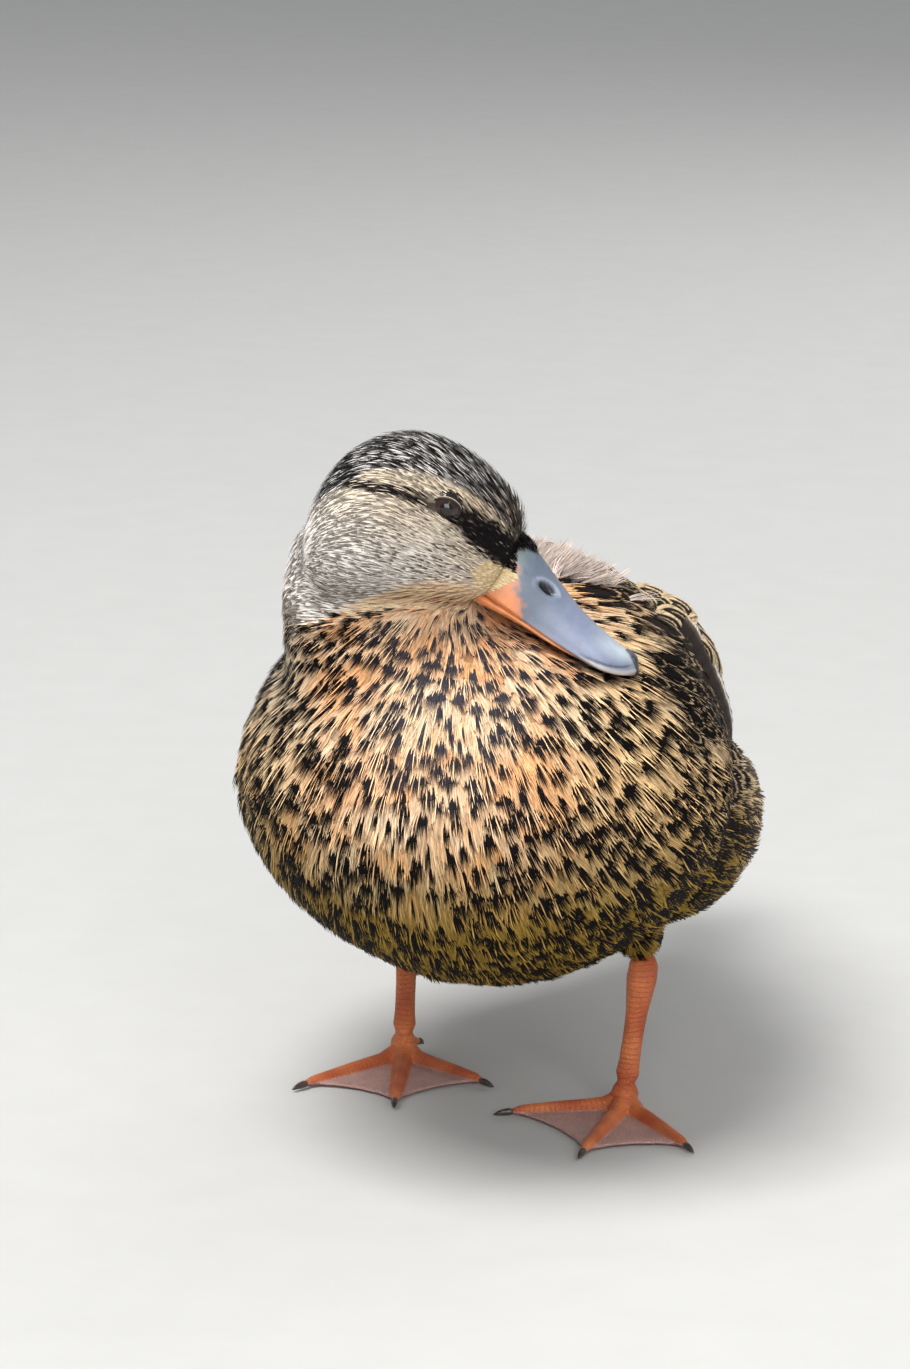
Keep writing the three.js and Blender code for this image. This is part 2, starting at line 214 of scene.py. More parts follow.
@dataclass(frozen=True)
class HeadPlace:
    """Where the head stands: +x runs along the mouth to the tip, +y is her left, +z the crown."""

    turn: float = 105.0
    dip: float = 31.0
    eye_x: float = -26.3
    eye_z: float = 19.0

    @property
    def axes(self) -> Array:
        """The head's three directions as the columns of a matrix."""
        turn, dip = radians(self.turn - 90.0), radians(self.dip)
        about_up = np.array([[cos(turn), -sin(turn), 0],
                             [sin(turn), cos(turn), 0], [0, 0, 1]])
        about_side = np.array([[cos(dip), 0, sin(dip)], [0, 1, 0],
                               [-sin(dip), 0, cos(dip)]])
        return about_up @ about_side

    @property
    def origin(self) -> Array:
        """Midway between the corners of the mouth, in millimetres."""
        corners = [np.array(corner) for eye in ("eye_left", "eye_right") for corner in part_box(eye)]
        return sum(corners) / 4.0 / MM - self.axes @ vec(self.eye_x, 0.0, self.eye_z)

    def to_head(self, points: Array) -> Array:
        """Places in the model's millimetres, told in the head's own frame."""
        return (points - self.origin) @ self.axes

    def to_model(self, points: Array) -> Array:
        """Places in the head's own frame, told in the model's millimetres."""
        return points @ self.axes.T + self.origin


HEAD = HeadPlace()


def middle_of(right: str, left: str) -> float:
    """Midway across from one CAD node's right side to another's left, in millimetres."""
    return (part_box(right)[0].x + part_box(left)[1].x) / 2 / MM


# ---- meshes
def deselect() -> None:
    """Leave nothing selected and nothing active."""
    for item in bpy.context.view_layer.objects:
        item.select_set(False)
    bpy.context.view_layer.objects.active = None


def only(item: Piece) -> Piece:
    """Select one object and make it active."""
    deselect()
    item.select_set(True)
    bpy.context.view_layer.objects.active = item
    return item


def in_scene(name: str, data: bpy.types.ID) -> Piece:
    """A new object with some data, linked to the scene."""
    item = bpy.data.objects.new(name, data)
    bpy.context.scene.collection.objects.link(item)
    return item


@contextmanager
def editing(item: Piece) -> Iterator[None]:
    """Edit mode, with the whole of one object selected."""
    only(item)
    bpy.ops.object.mode_set(mode="EDIT")
    bpy.ops.mesh.select_all(action="SELECT")
    yield
    bpy.ops.object.mode_set(mode="OBJECT")


def read_rows(items: Sequence, name: str, width: int, kind: type = np.float32) -> Array:
    """Read one row of numbers for each item of a mesh's list.

    Args:
        items: The mesh's list, such as its vertices.
        name: What is read of each item.
        width: How many numbers an item has.
        kind: The type of the numbers.

    Returns:
        The rows.
    """
    flat = np.empty(len(items) * width, kind)
    items.foreach_get(name, flat)
    return flat.reshape(-1, width)


def write_rows(items: Sequence, name: str, rows: Array, kind: type = np.float32) -> None:
    """Store one row of numbers for each item of a mesh's list."""
    items.foreach_set(name, np.ascontiguousarray(rows, dtype=kind).ravel())


def mesh_piece(name: str, points: Array, corners: Array, sizes: Array,
               smooth: bool = True) -> Piece:
    """Make an object from arrays.

    Args:
        name: The piece's name.
        points: Its vertices, in millimetres.
        corners: The vertex of each corner of each face, face by face.
        sizes: How many corners each face has.
        smooth: Whether the faces are shaded as one surface.

    Returns:
        The new object, linked to the scene.
    """
    mesh = bpy.data.meshes.new(name)
    mesh.vertices.add(len(points))
    write_rows(mesh.vertices, "co", points * MM)
    mesh.loops.add(len(corners))
    write_rows(mesh.loops, "vertex_index", corners, np.int32)
    mesh.polygons.add(len(sizes))
    write_rows(mesh.polygons, "loop_start", np.concatenate([[0], np.cumsum(sizes)[:-1]]), np.int32)
    mesh.polygons.foreach_set("use_smooth", np.full(len(sizes), smooth))
    mesh.update(calc_edges=True)
    mesh.validate()
    return in_scene(name, mesh)


def set_colour(mesh: Mesh, name: str, rows: Array) -> None:
    """Store one colour for each vertex under a name, new or not."""
    layers = mesh.color_attributes
    layer = layers.get(name) or layers.new(name, "FLOAT_COLOR", "POINT")
    write_rows(layer.data, "color", np.column_stack([rows, np.ones(len(rows))]))


def set_vector(mesh: Mesh, name: str, rows: Array) -> None:
    """Store three numbers for each vertex under a name."""
    write_rows(mesh.attributes.new(name, "FLOAT_VECTOR", "POINT").data, "vector", rows)


def set_map(mesh: Mesh, name: str, rows: Array) -> None:
    """Store a flat map, one place for each vertex, on all the corners."""
    write_rows(mesh.uv_layers.new(name=name).data, "uv", rows[corners_of(mesh)])


def map_of(mesh: Mesh, name: str) -> Array:
    """A flat map's place for each vertex."""
    rows = np.zeros((len(mesh.vertices), 2))
    rows[corners_of(mesh)] = read_rows(mesh.uv_layers[name].data, "uv", 2)
    return rows


def corners_of(mesh: Mesh) -> Array:
    """The vertex of each corner of a mesh's faces."""
    return read_rows(mesh.loops, "vertex_index", 1, np.int32)[:, 0]


def vertices_of(mesh: Mesh) -> Array:
    """A mesh's vertices in millimetres."""
    return read_rows(mesh.vertices, "co", 3).astype(float) / MM


def normals_of(mesh: Mesh) -> Array:
    """A mesh's smooth outward directions, one for each vertex."""
    return read_rows(mesh.vertex_normals, "vector", 3).astype(float)


def triangles_of(mesh: Mesh) -> Array:
    """A mesh's faces as triangles of vertex numbers."""
    mesh.calc_loop_triangles()
    return read_rows(mesh.loop_triangles, "vertices", 3, np.int32)


def move_vertices(mesh: Mesh, points: Array) -> None:
    """Put a mesh's vertices at new places, in millimetres."""
    write_rows(mesh.vertices, "co", points * MM)
    mesh.update()


def bands_between(rings: int, around: int) -> Array:
    """The quads between closed rings of vertices that are numbered ring by ring."""
    ring, spot = np.meshgrid(np.arange(rings - 1), np.arange(around), indexing="ij")
    after = (spot + 1) % around
    return np.stack([ring * around + spot, ring * around + after, (ring + 1) * around + after,
                     (ring + 1) * around + spot], axis=-1).reshape(-1, 4)


def copy_of(node: str, name: str) -> Piece:
    """A copy of a CAD node with its loose triangles joined."""
    item = in_scene(name, frame["nodes"][node].data.copy())
    item.data.materials.clear()
    with editing(item):
        bpy.ops.mesh.remove_doubles(threshold=1e-6)
    return item


def apply_modifier(item: Piece, kind: str, **settings: object) -> None:
    """Add a modifier to an object, set it and apply it at once."""
    only(item)
    modifier = item.modifiers.new(kind.title(), kind)
    for key, value in settings.items():
        setattr(modifier, key, value)
    bpy.ops.object.modifier_apply(modifier=modifier.name)


def joined(items: Sequence[Piece], name: str) -> Piece:
    """Join objects into the first of them and name it."""
    only(items[0])
    for item in items:
        item.select_set(True)
    bpy.ops.object.join()
    items[0].name = name
    items[0].data.name = name
    return items[0]


def finish_piece(item: Piece, material: Material,
                 stands_for: Sequence[str] = ()) -> Piece:
    """Dress a piece, hide the CAD nodes that it replaces, and report it.

    Args:
        item: The finished piece.
        material: Its material.
        stands_for: CAD nodes that it replaces.

    Returns:
        The same piece.
    """
    item.data.materials.clear()
    item.data.materials.append(material)
    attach(item, BODY)
    if stands_for:
        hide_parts(*stands_for)
    triangles = sum(len(face.vertices) - 2 for face in item.data.polygons)
    log.info("%s: %d triangles", item.name, triangles)
    return item


# ---- finishes
class Tree:
    """A material's node tree, built in few words."""

    def __init__(self, name: str) -> None:
        """Start an empty material with its shader."""
        self.material = bpy.data.materials.new(name)
        self.material.use_nodes = True
        self.nodes = self.material.node_tree.nodes
        self.links = self.material.node_tree.links
        self.shader = self.nodes["Principled BSDF"]

    def add(self, kind: str, **settings: object) -> bpy.types.Node:
        """Add a node of a kind and set its properties."""
        node = self.nodes.new("ShaderNode" + kind)
        for key, value in settings.items():
            setattr(node, key, value)
        return node

    def plug(self, socket: Socket, value: object) -> None:
        """Link a socket to another, or set its value."""
        if isinstance(value, Socket):
            self.links.new(value, socket)
        elif isinstance(value, (tuple, list, np.ndarray)):
            length = len(socket.default_value)
            socket.default_value = (tuple(float(part) for part in value) + (1.0,))[:length]
        else:
            socket.default_value = value

    def fed(self, kind: str, *values: object, **settings: object) -> bpy.types.Node:
        """Add a node of a kind, set its properties and fill its first inputs.

        Args:
            kind: The kind of node.
            *values: What its first inputs get, each a value or a socket.
            **settings: Its properties.

        Returns:
            The node.
        """
        node = self.add(kind, **settings)
        for socket, value in zip(node.inputs, values):
            self.plug(socket, value)
        return node

    def stored_colour(self, name: str = "tone") -> Socket:
        """A colour that is stored on the piece."""
        return self.add("Attribute", attribute_name=name).outputs["Color"]

    def stored_numbers(self, name: str) -> Sequence[Socket]:
        """Three numbers that are stored on the piece."""
        return self.parts(self.add("Attribute", attribute_name=name).outputs["Vector"])

    def sum(self, operation: str, first: object, second: object = 0.0, third: object = 0.0,
            clamp: bool = False) -> Socket:
        """Do arithmetic on numbers and give the result's socket."""
        return self.fed("Math", first, second, third, operation=operation,
                        use_clamp=clamp).outputs[0]

    def times(self, first: object, second: object) -> Socket:
        """Multiply two numbers."""
        return self.sum("MULTIPLY", first, second)

    def plus(self, first: object, second: object) -> Socket:
        """Add two numbers."""
        return self.sum("ADD", first, second)

    def minus(self, first: object, second: object) -> Socket:
        """Take the second number from the first."""
        return self.sum("SUBTRACT", first, second)

    def scaled(self, value: object, gain: object, base: object) -> Socket:
        """Multiply a number by a gain and add a base."""
        return self.sum("MULTIPLY_ADD", value, gain, base)

    def vector(self, x: object, y: object, z: object = 0.0) -> Socket:
        """Put three numbers together as a vector."""
        return self.fed("CombineXYZ", x, y, z).outputs[0]

    def parts(self, value: Socket) -> Sequence[Socket]:
        """Take a vector apart into its three numbers."""
        return self.fed("SeparateXYZ", value).outputs

    def mix(self, share: object, first: object, second: object, way: str = "MIX") -> Socket:
        """Mix two colours."""
        node = self.add("Mix", data_type="RGBA", blend_type=way)
        self.plug(node.inputs[0], share)
        self.plug(node.inputs[6], first)
        self.plug(node.inputs[7], second)
        return node.outputs[2]

    def shaded(self, colour: object, grey: Socket) -> Socket:
        """Make a colour lighter or darker by a number."""
        return self.mix(1.0, colour, self.vector(grey, grey, grey), "MULTIPLY")

    def ease(self, value: object, low: object, high: object) -> Socket:
        """Ease from 0 to 1 between two values."""
        return self.fed("MapRange", value, low, high, interpolation_type="SMOOTHSTEP").outputs[0]

    def noise(self, place: object, scale: float, detail: float = 2.0, rough: float = 0.5) -> Socket:
        """Noise from 0 to 1 at a place."""
        return self.fed("TexNoise", place, 0.0, scale, detail, rough).outputs[0]

    def place(self) -> Socket:
        """The piece's own coordinates."""
        return self.add("TexCoord").outputs["Object"]

    def bump(self, height: object, strength: float, distance: float) -> None:
        """Give the shader a bump from a height."""
        node = self.add("Bump")
        node.inputs["Strength"].default_value = strength
        node.inputs["Distance"].default_value = distance
        self.plug(node.inputs["Height"], height)
        self.plug(self.shader.inputs["Normal"], node.outputs[0])

    def finish(self, colour: object, roughness: object, **constants: float) -> Material:
        """Set the shader and give the material back.

        Args:
            colour: Base colour, a value or a socket.
            roughness: A value or a socket.
            **constants: The shader's other inputs, with _ for spaces.

        Returns:
            The finished material.
        """
        self.plug(self.shader.inputs["Base Color"], colour)
        self.plug(self.shader.inputs["Roughness"], roughness)
        for key, value in constants.items():
            self.plug(self.shader.inputs[key.replace("_", " ")], value)
        return self.material


@dataclass(frozen=True)
class PlumageFinish:
    """Feathers: each vane reads its own tone, its centre's tone and its pattern's numbers.

    The pattern's first number is -1 for a plain vane, 0 for a drop-shaped spot and 1 for a dark
    vane with a pale edge. The second is the spot's or the edge's width, the third differs by lock.
    """

    roughness: float = 0.7
    barb_count: float = 22.0
    barb_depth: float = 0.5
    glow: tuple[float, float, float] = (1.38, 1.34, 1.26)

    def make(self) -> Material:
        """Build the material."""
        tree = Tree("plumage")
        tone = tree.stored_colour()
        centre = tree.stored_colour("centre")
        kind, width, lock = tree.stored_numbers("pattern")
        across, along, _ = tree.parts(tree.add("UVMap", uv_map=VANE_MAP).outputs[0])
        side = tree.sum("ABSOLUTE", tree.scaled(across, 2.0, -1.0))
        shift = tree.times(lock, 37.0)
        barbs = tree.noise(tree.vector(tree.scaled(across, self.barb_count, shift),
                                       tree.times(along, 1.6), shift), 1.0, 3.0, 0.6)
        ragged = tree.plus(tree.scaled(barbs, 1.3, -0.65),
                           tree.scaled(lock, 1.3, -0.65))
        spotted = tree.times(self.spot(tree, side, along, width, ragged),
                             tree.ease(lock, 0.93, 0.86))
        scalloped = tree.ease(kind, 0.25, 0.75)
        dark = tree.sum("ADD", tree.times(spotted, tree.minus(1.0, scalloped)),
                        tree.times(self.edged(tree, side, along, width, ragged), scalloped),
                        clamp=True)
        dark = tree.times(dark, tree.ease(kind, -0.75, -0.25))
        hair = tree.times(tree.ease(lock, 0.55, 0.9), tree.ease(along, 0.3, 0.9))
        hair = tree.sum("MAXIMUM", hair, tree.times(tree.ease(along, 0.78, 1.0), 0.6))
        hair = tree.times(hair, tree.ease(kind, 0.6, 0.1))
        light = tree.mix(1.0, tone, self.glow, "MULTIPLY")
        light = tree.mix(tree.times(hair, tree.ease(kind, -0.75, -0.25)), tone, light)
        colour = tree.mix(dark, light, centre)
        streak = tree.ease(barbs, 0.28, 0.72)
        low, high = 1.0 - self.barb_depth, 1.0 + self.barb_depth * 0.4
        grey = tree.scaled(streak, high - low, low)
        colour = tree.shaded(colour, grey)
        tree.bump(barbs, 0.6, 0.0003)
        return tree.finish(colour, self.roughness, Specular_IOR_Level=0.08)

    @staticmethod
    def spot(tree: Tree, side: object, along: object, width: object,
             ragged: object) -> Socket:
        """A drop-shaped dark spot near the tip, 1 inside it."""
        reach = tree.scaled(width, -0.05, 0.35)
        drop_along = tree.sum("DIVIDE", tree.minus(along, 0.70), reach)
        drop_across = tree.sum("DIVIDE", side, width)
        drop = tree.plus(tree.times(drop_along, drop_along),
                         tree.times(drop_across, drop_across))
        return tree.ease(tree.plus(drop, ragged), 1.15, 0.9)

    @staticmethod
    def edged(tree: Tree, side: object, along: object, width: object,
              ragged: object) -> Socket:
        """A dark vane with a pale edge, and a pale bow inside it."""
        tip = tree.sum("MAXIMUM", tree.sum("DIVIDE", tree.minus(along, 0.5), 0.5), 0.0)
        reach = tree.sum("SQRT", tree.plus(tree.times(side, side),
                                           tree.times(tip, tip)))
        edge = tree.scaled(ragged, 0.07, tree.minus(1.0, reach))
        inside = tree.ease(edge, tree.times(width, 0.75), tree.times(width, 1.15))
        bow = tree.sum("ABSOLUTE", tree.minus(edge, tree.plus(width, 0.26)))
        strength = tree.times(tree.ease(bow, 0.08, 0.03), tree.ease(along, 0.45, 0.75))
        return tree.times(inside, tree.scaled(strength, -0.6, 1.0))


@dataclass(frozen=True)
class HideFinish:
    """The skin and down under the feathers, in the same markings as the coat."""

    def make(self) -> Material:
        """Build the material."""
        tree = Tree("down_and_skin")
        tone = tree.stored_colour()
        fluff = tree.noise(tree.place(), 900.0, 4.0, 0.7)
        grey = tree.scaled(fluff, 0.8, 0.4)
        colour = tree.shaded(tone, grey)
        tree.bump(fluff, 0.6, 0.0006)
        return tree.finish(colour, 0.9, Specular_IOR_Level=0.15)


@dataclass(frozen=True)
class HornFinish:
    """Satin horn of the bill: its tones are stored on the piece, with fine mottling over them."""

    name: str = "bill_horn"
    roughness: float = 0.34

    def make(self) -> Material:
        """Build the material."""
        tree = Tree(self.name)
        tone = tree.stored_colour()
        place = tree.place()
        mottle = tree.noise(place, 260.0, 4.0, 0.6)
        grain = tree.noise(place, 1500.0, 3.0, 0.6)
        grey = tree.scaled(mottle, 0.42, tree.scaled(grain, 0.16, 0.71))
        colour = tree.shaded(tone, grey)
        rough = tree.scaled(grain, 0.2, self.roughness - 0.06)
        tree.bump(tree.plus(tree.times(mottle, 0.5), grain), 0.22, 0.0003)
        return tree.finish(colour, rough, Specular_IOR_Level=0.5, Coat_Weight=0.12,
                           Coat_Roughness=0.3, Subsurface_Weight=0.06,
                           Subsurface_Radius=(0.002, 0.001, 0.0006))


@dataclass(frozen=True)
class EyeFinish:
    """A wet eyeball: black pupil, dark brown iris with fine rays, darker rim."""

    pupil: float = 0.46
    iris: float = 0.96

    def make(self) -> Material:
        """Build the material."""
        tree = Tree("eyeball")
        radial, turn, _ = tree.stored_numbers("gaze")
        rays = tree.noise(tree.vector(tree.times(turn, 14.0), radial), 2.0, 3.0, 0.6)
        warm = tree.mix(rays, tint(22, 11, 7), tint(58, 32, 20))
        rim = tree.ease(radial, self.iris - 0.12, self.iris)
        colour = tree.mix(rim, warm, tint(22, 13, 10))
        colour = tree.mix(tree.ease(radial, self.pupil + 0.04, self.pupil - 0.02), colour,
                          tint(2, 2, 2))
        return tree.finish(colour, 0.35, Specular_IOR_Level=0.0, Coat_Weight=0.9,
                           Coat_Roughness=0.05, Coat_IOR=1.6)


@dataclass(frozen=True)
class LegFinish:
    """Scaly leg skin: rows of scutes along the toes and shank, and a fine net between them."""

    scute_bump: float = 0.7

    def make(self) -> Material:
        """Build the material."""
        tree = Tree("leg_skin")
        tone = tree.stored_colour()
        along, across, _ = tree.stored_numbers("scute")
        place = tree.place()
        cells = tree.add("TexVoronoi", feature="DISTANCE_TO_EDGE")
        tree.plug(cells.inputs["Vector"], place)
        cells.inputs["Scale"].default_value = 900.0
        net = tree.ease(cells.outputs[0], 0.0, 0.16)
        row = tree.ease(tree.sum("PINGPONG", along, 0.5), 0.0, 0.14)
        front = tree.ease(across, 0.2, 0.55)
        row = tree.scaled(row, 0.6, tree.times(net, 0.4))
        height = tree.plus(tree.times(row, front),
                           tree.times(net, tree.minus(1.0, front)))
        blotch = tree.noise(place, 180.0, 3.0, 0.6)
        grey = tree.scaled(height, 0.26, tree.scaled(blotch, 0.6, 0.48))
        colour = tree.shaded(tone, grey)
        tree.bump(height, self.scute_bump, 0.0004)
        return tree.finish(colour, tree.scaled(blotch, 0.2, 0.42),
                           Specular_IOR_Level=0.4, Subsurface_Weight=0.08,
                           Subsurface_Radius=(0.003, 0.001, 0.0005))


@dataclass(frozen=True)
class PlainHorn:
    """Hard dark horn of the claws and the nail."""

    name: str
    dark: Colour
    pale: Colour

    def make(self) -> Material:
        """Build the material."""
        tree = Tree(self.name)
        streak = tree.noise(tree.place(), 420.0, 4.0, 0.65)
        colour = tree.mix(tree.ease(streak, 0.3, 0.75), tint(*self.dark), tint(*self.pale))
        tree.bump(streak, 0.2, 0.0003)
        return tree.finish(colour, tree.scaled(streak, 0.25, 0.22),
                           Specular_IOR_Level=0.5)


@dataclass(frozen=True)
class FloorFinish:
    """A plain pale floor."""

    def make(self) -> Material:
        """Build the material."""
        tree = Tree("studio_floor")
        speck = tree.noise(tree.place(), 40.0, 2.0)
        colour = tree.mix(speck, tint(184, 183, 180), tint(190, 189, 186))
        return tree.finish(colour, 0.85, Specular_IOR_Level=0.2)


# ---- markings
class Region(Enum):
    """The parts of the plumage, each a piece of the coat."""

    HEAD = "coat_head"
    NECK = "coat_neck"
    BREAST = "coat_breast"
    LEFT = "coat_flank_left"
    RIGHT = "coat_flank_right"
    BACK = "coat_back"
    BELLY = "coat_belly"


@dataclass(frozen=True)
class HeadMarks:
    """Streaked crown, pale brow, dark stripe through the eye and a warm plain throat."""

    buff: Colour = (226, 208, 180)
    grey: Colour = (246, 238, 230)
    # warm: peach of throat and brow, on the throat raised as painted light against its shade
    warm: Colour = (255, 222, 184)
    lore_spot: Colour = (255, 226, 178)
    dark: Colour = (20, 17, 18)
    soft_dark: Colour = (98, 88, 82)
    rear_dark: Colour = (126, 116, 108)
    crown: Colour = (216, 211, 206)
    forehead: Colour = (196, 166, 126)
    crown_x: Curve = (-62.0, -52.0, -43.0, -34.0, -24.0, -14.0, -4.0, 9.0)
    crown_z: Curve = (-4.0, 15.5, 21.8, 24.8, 26.0, 24.8, 21.0, 16.0)
    stripe_x: Curve = (-60.0, -52.0, -41.0, -33.0, -24.0, -11.0, 1.0)
    stripe_z: Curve = (9.0, 12.0, 15.8, 17.2, 18.5, 17.0, 14.8)
    stripe_half: Curve = (0.6, 1.2, 1.7, 1.8, 2.4, 4.4, 4.6)

    def tones(self, local: Array) -> tuple[Array, Array]:
        """The pale tone and the share of dark at places in the head's frame.

        Args:
            local: Places in the head's own millimetres.

        Returns:
            A colour for each place, and how dark its streaks are, from 0 to 1.
        """
        x, z = local[:, 0], local[:, 2]
        patch = value_noise(local, 9.0, 11)
        tone = painted(tint(*self.grey), (self.buff, ease(-12, 22, z + 3 * patch)))
        low = curve_through((-34.0, -25.0, -13.5, -3.0, 12.0), (-30.0, -12.0, -3.0, 0.0, 2.0), x)
        throat = ease(low + 4.0, low - 1.0, z + 2.0 * patch) * ease(-38, -29, x)
        brow = ease(5, 1, abs(z - 24.5)) * ease(-30, -12, x) * ease(2, -6, x)
        spot = ease(5.8, 3.8, np.hypot((x + 1.6) * 0.86, z - 6.4))
        smudge = ease(1.6, 0.4, np.hypot((x + 44) / 9.0, (z - 5.5) / 3.6))
        share = 0.24 + 0.10 * patch + 0.22 * smudge
        share = share * blend(0.85, 1.25, ease(-30, -8, x))
        share = share * (1 - 0.97 * throat) * (1 - 0.96 * spot)
        crown = curve_through(self.crown_x, self.crown_z, x)
        above = ease(-1.2, 1.6, z - crown)
        brow_gap = ease(-6.5, -1.5, z - crown) * (1 - above)
        stripe = curve_through(self.stripe_x, self.stripe_z, x)
        half = curve_through(self.stripe_x, self.stripe_half, x)
        on_stripe = ease(half + 1.2, half - 1.0, abs(z - stripe)) * ease(-62, -54, x)
        front = ease(-27, -12, x)
        share = blend(share, 0.24 + 0.2 * front, brow_gap * ease(-60, -50, x))
        share = blend(share, 0.66 + 0.06 * front, above)
        share = blend(share, 0.80 + 0.12 * front, on_stripe)
        # throat: its own peach, made paler as painted light against the shade under the cheek
        tone = painted(tone, (self.warm, throat), (self.warm, brow * 0.45), (self.lore_spot, spot),
                       (self.crown, above), (self.forehead, above * ease(-24, 4, x) * 0.8))
        return tone, np.clip(share, 0.0, 1.0)


@dataclass(frozen=True)
class BodyMarks:
    """Buff feathers with dark centres, greyer towards the nape, browner on the back."""

    peach: Colour = (226, 168, 118)
    pale: Colour = (230, 202, 168)
    yellow: Colour = (224, 190, 138)
    # ochre low on the breast: partly the feathers' own colour, partly painted shade under the body
    ochre_and_shade: Colour = (140, 112, 46)
    grey_buff: Colour = (208, 192, 168)
    back_edge: Colour = (208, 182, 144)
    black: Colour = (14, 10, 9)
    slate: Colour = (72, 68, 76)
    umber: Colour = (34, 26, 22)
    dusk: Colour = (100, 86, 72)

    def weights(self, place: Array) -> dict[str, Array]:
        """How far places belong to each part of the body.

        Args:
            place: Places in millimetres.

        Returns:
            A share from 0 to 1 for each place, under each part's name.
        """
        x, y, z = place.T
        back = ease(148, 168, z + 0.10 * (y + 40)) * ease(-92, -62, y)
        back = np.maximum(back, ease(100, 122, z) * ease(20, 60, y))
        wing = ease(114, 124, z) * ease(-84, -66, y) * ease(40, 50, abs(x))
        back = np.maximum(back, wing)
        side = ease(46, 62, abs(x)) * ease(-95, -60, y)
        flank = ease(-34, 8, y) * ease(86, 98, z) * ease(26, 40, abs(x))
        shoulder = ease(42, 56, abs(x)) * ease(-122, -96, y) * ease(132, 150, z)
        behind = ease(-70, -25, y) * ease(78, 94, z)
        return {
            "shoulder": shoulder * (1 - back),
            "flank": flank * (1 - back),
            "upper": ease(128, 168, z) * ease(-60, -100, y),
            "low": ease(143, 93, z) * (1 - 0.75 * behind),
            "back": back,
            "rear": ease(20, 110, y),
            "side": side * (1 - back),
            "nape": ease(-30, -55, x) * ease(135, 165, z) * ease(-70, -95, y),
            "middle": ease(34, 4, abs(x - 4)) * ease(-90, -120, y),
        }

    def tones(self, place: Array) -> tuple[Array, Array]:
        """What feathers rooted at some places look like.

        Args:
            place: Places in millimetres.

        Returns:
            The tone of each one's edge and of its centre.
        """
        part = self.weights(place)
        x = place[:, 0]
        patch = value_noise(place, 22.0, 5) + 1.2 * value_noise(place, 5.0, 6)
        grey = np.maximum(part["side"] * ease(-60, -10, place[:, 1]), 0.6 * part["shoulder"])
        # the low share lays ochre over the lower breast, partly its own colour and partly painted
        # shade
        tone = painted(tint(*self.peach), (self.pale, np.clip(0.5 + 0.45 * patch, 0, 1)),
                       (self.yellow, ease(24, 62, abs(x + 2.0)) * 0.8),
                       (self.ochre_and_shade, part["low"]), (self.grey_buff, part["nape"] * 0.8),
                       (self.grey_buff, grey * 0.7), (self.back_edge, part["back"]))
        dark = painted(tint(*self.black), (self.slate, part["middle"] * part["upper"] * 0.75),
                       (self.umber, np.maximum(part["back"], part["side"] * 0.6)),
                       (self.dusk, part["side"] * ease(-60, -20, place[:, 1]) * 0.9))
        return tone, dark


@dataclass(frozen=True)
class NeckFold:
    """The fold where the fine grey feathers of the head overhang the breast."""

    across: Curve = (-60.0, -52.0, -36.0, -12.0, 6.0, 20.0)
    height: Curve = (174.0, 178.0, 184.0, 188.0, 187.0, 184.0)

    def below(self, place: Array) -> tuple[Array, Array]:
        """How far places lie below the fold, and how far out from the middle of the head."""
        local = HEAD.to_head(place) - vec(-30.0, 0, 5)
        reach = np.linalg.norm(local / vec(37.0, 25, 33), axis=1)
        return np.interp(place[:, 0], self.across, self.height) - place[:, 2], reach

    def off_head(self, place: Array) -> Array:
        """0 on the head, rising to 1 where the neck has passed into the body."""
        drop, reach = self.below(place)
        return np.maximum(ease(-2.0, 2.0, drop), ease(1.25, 1.5, reach))


FOLD = NeckFold()


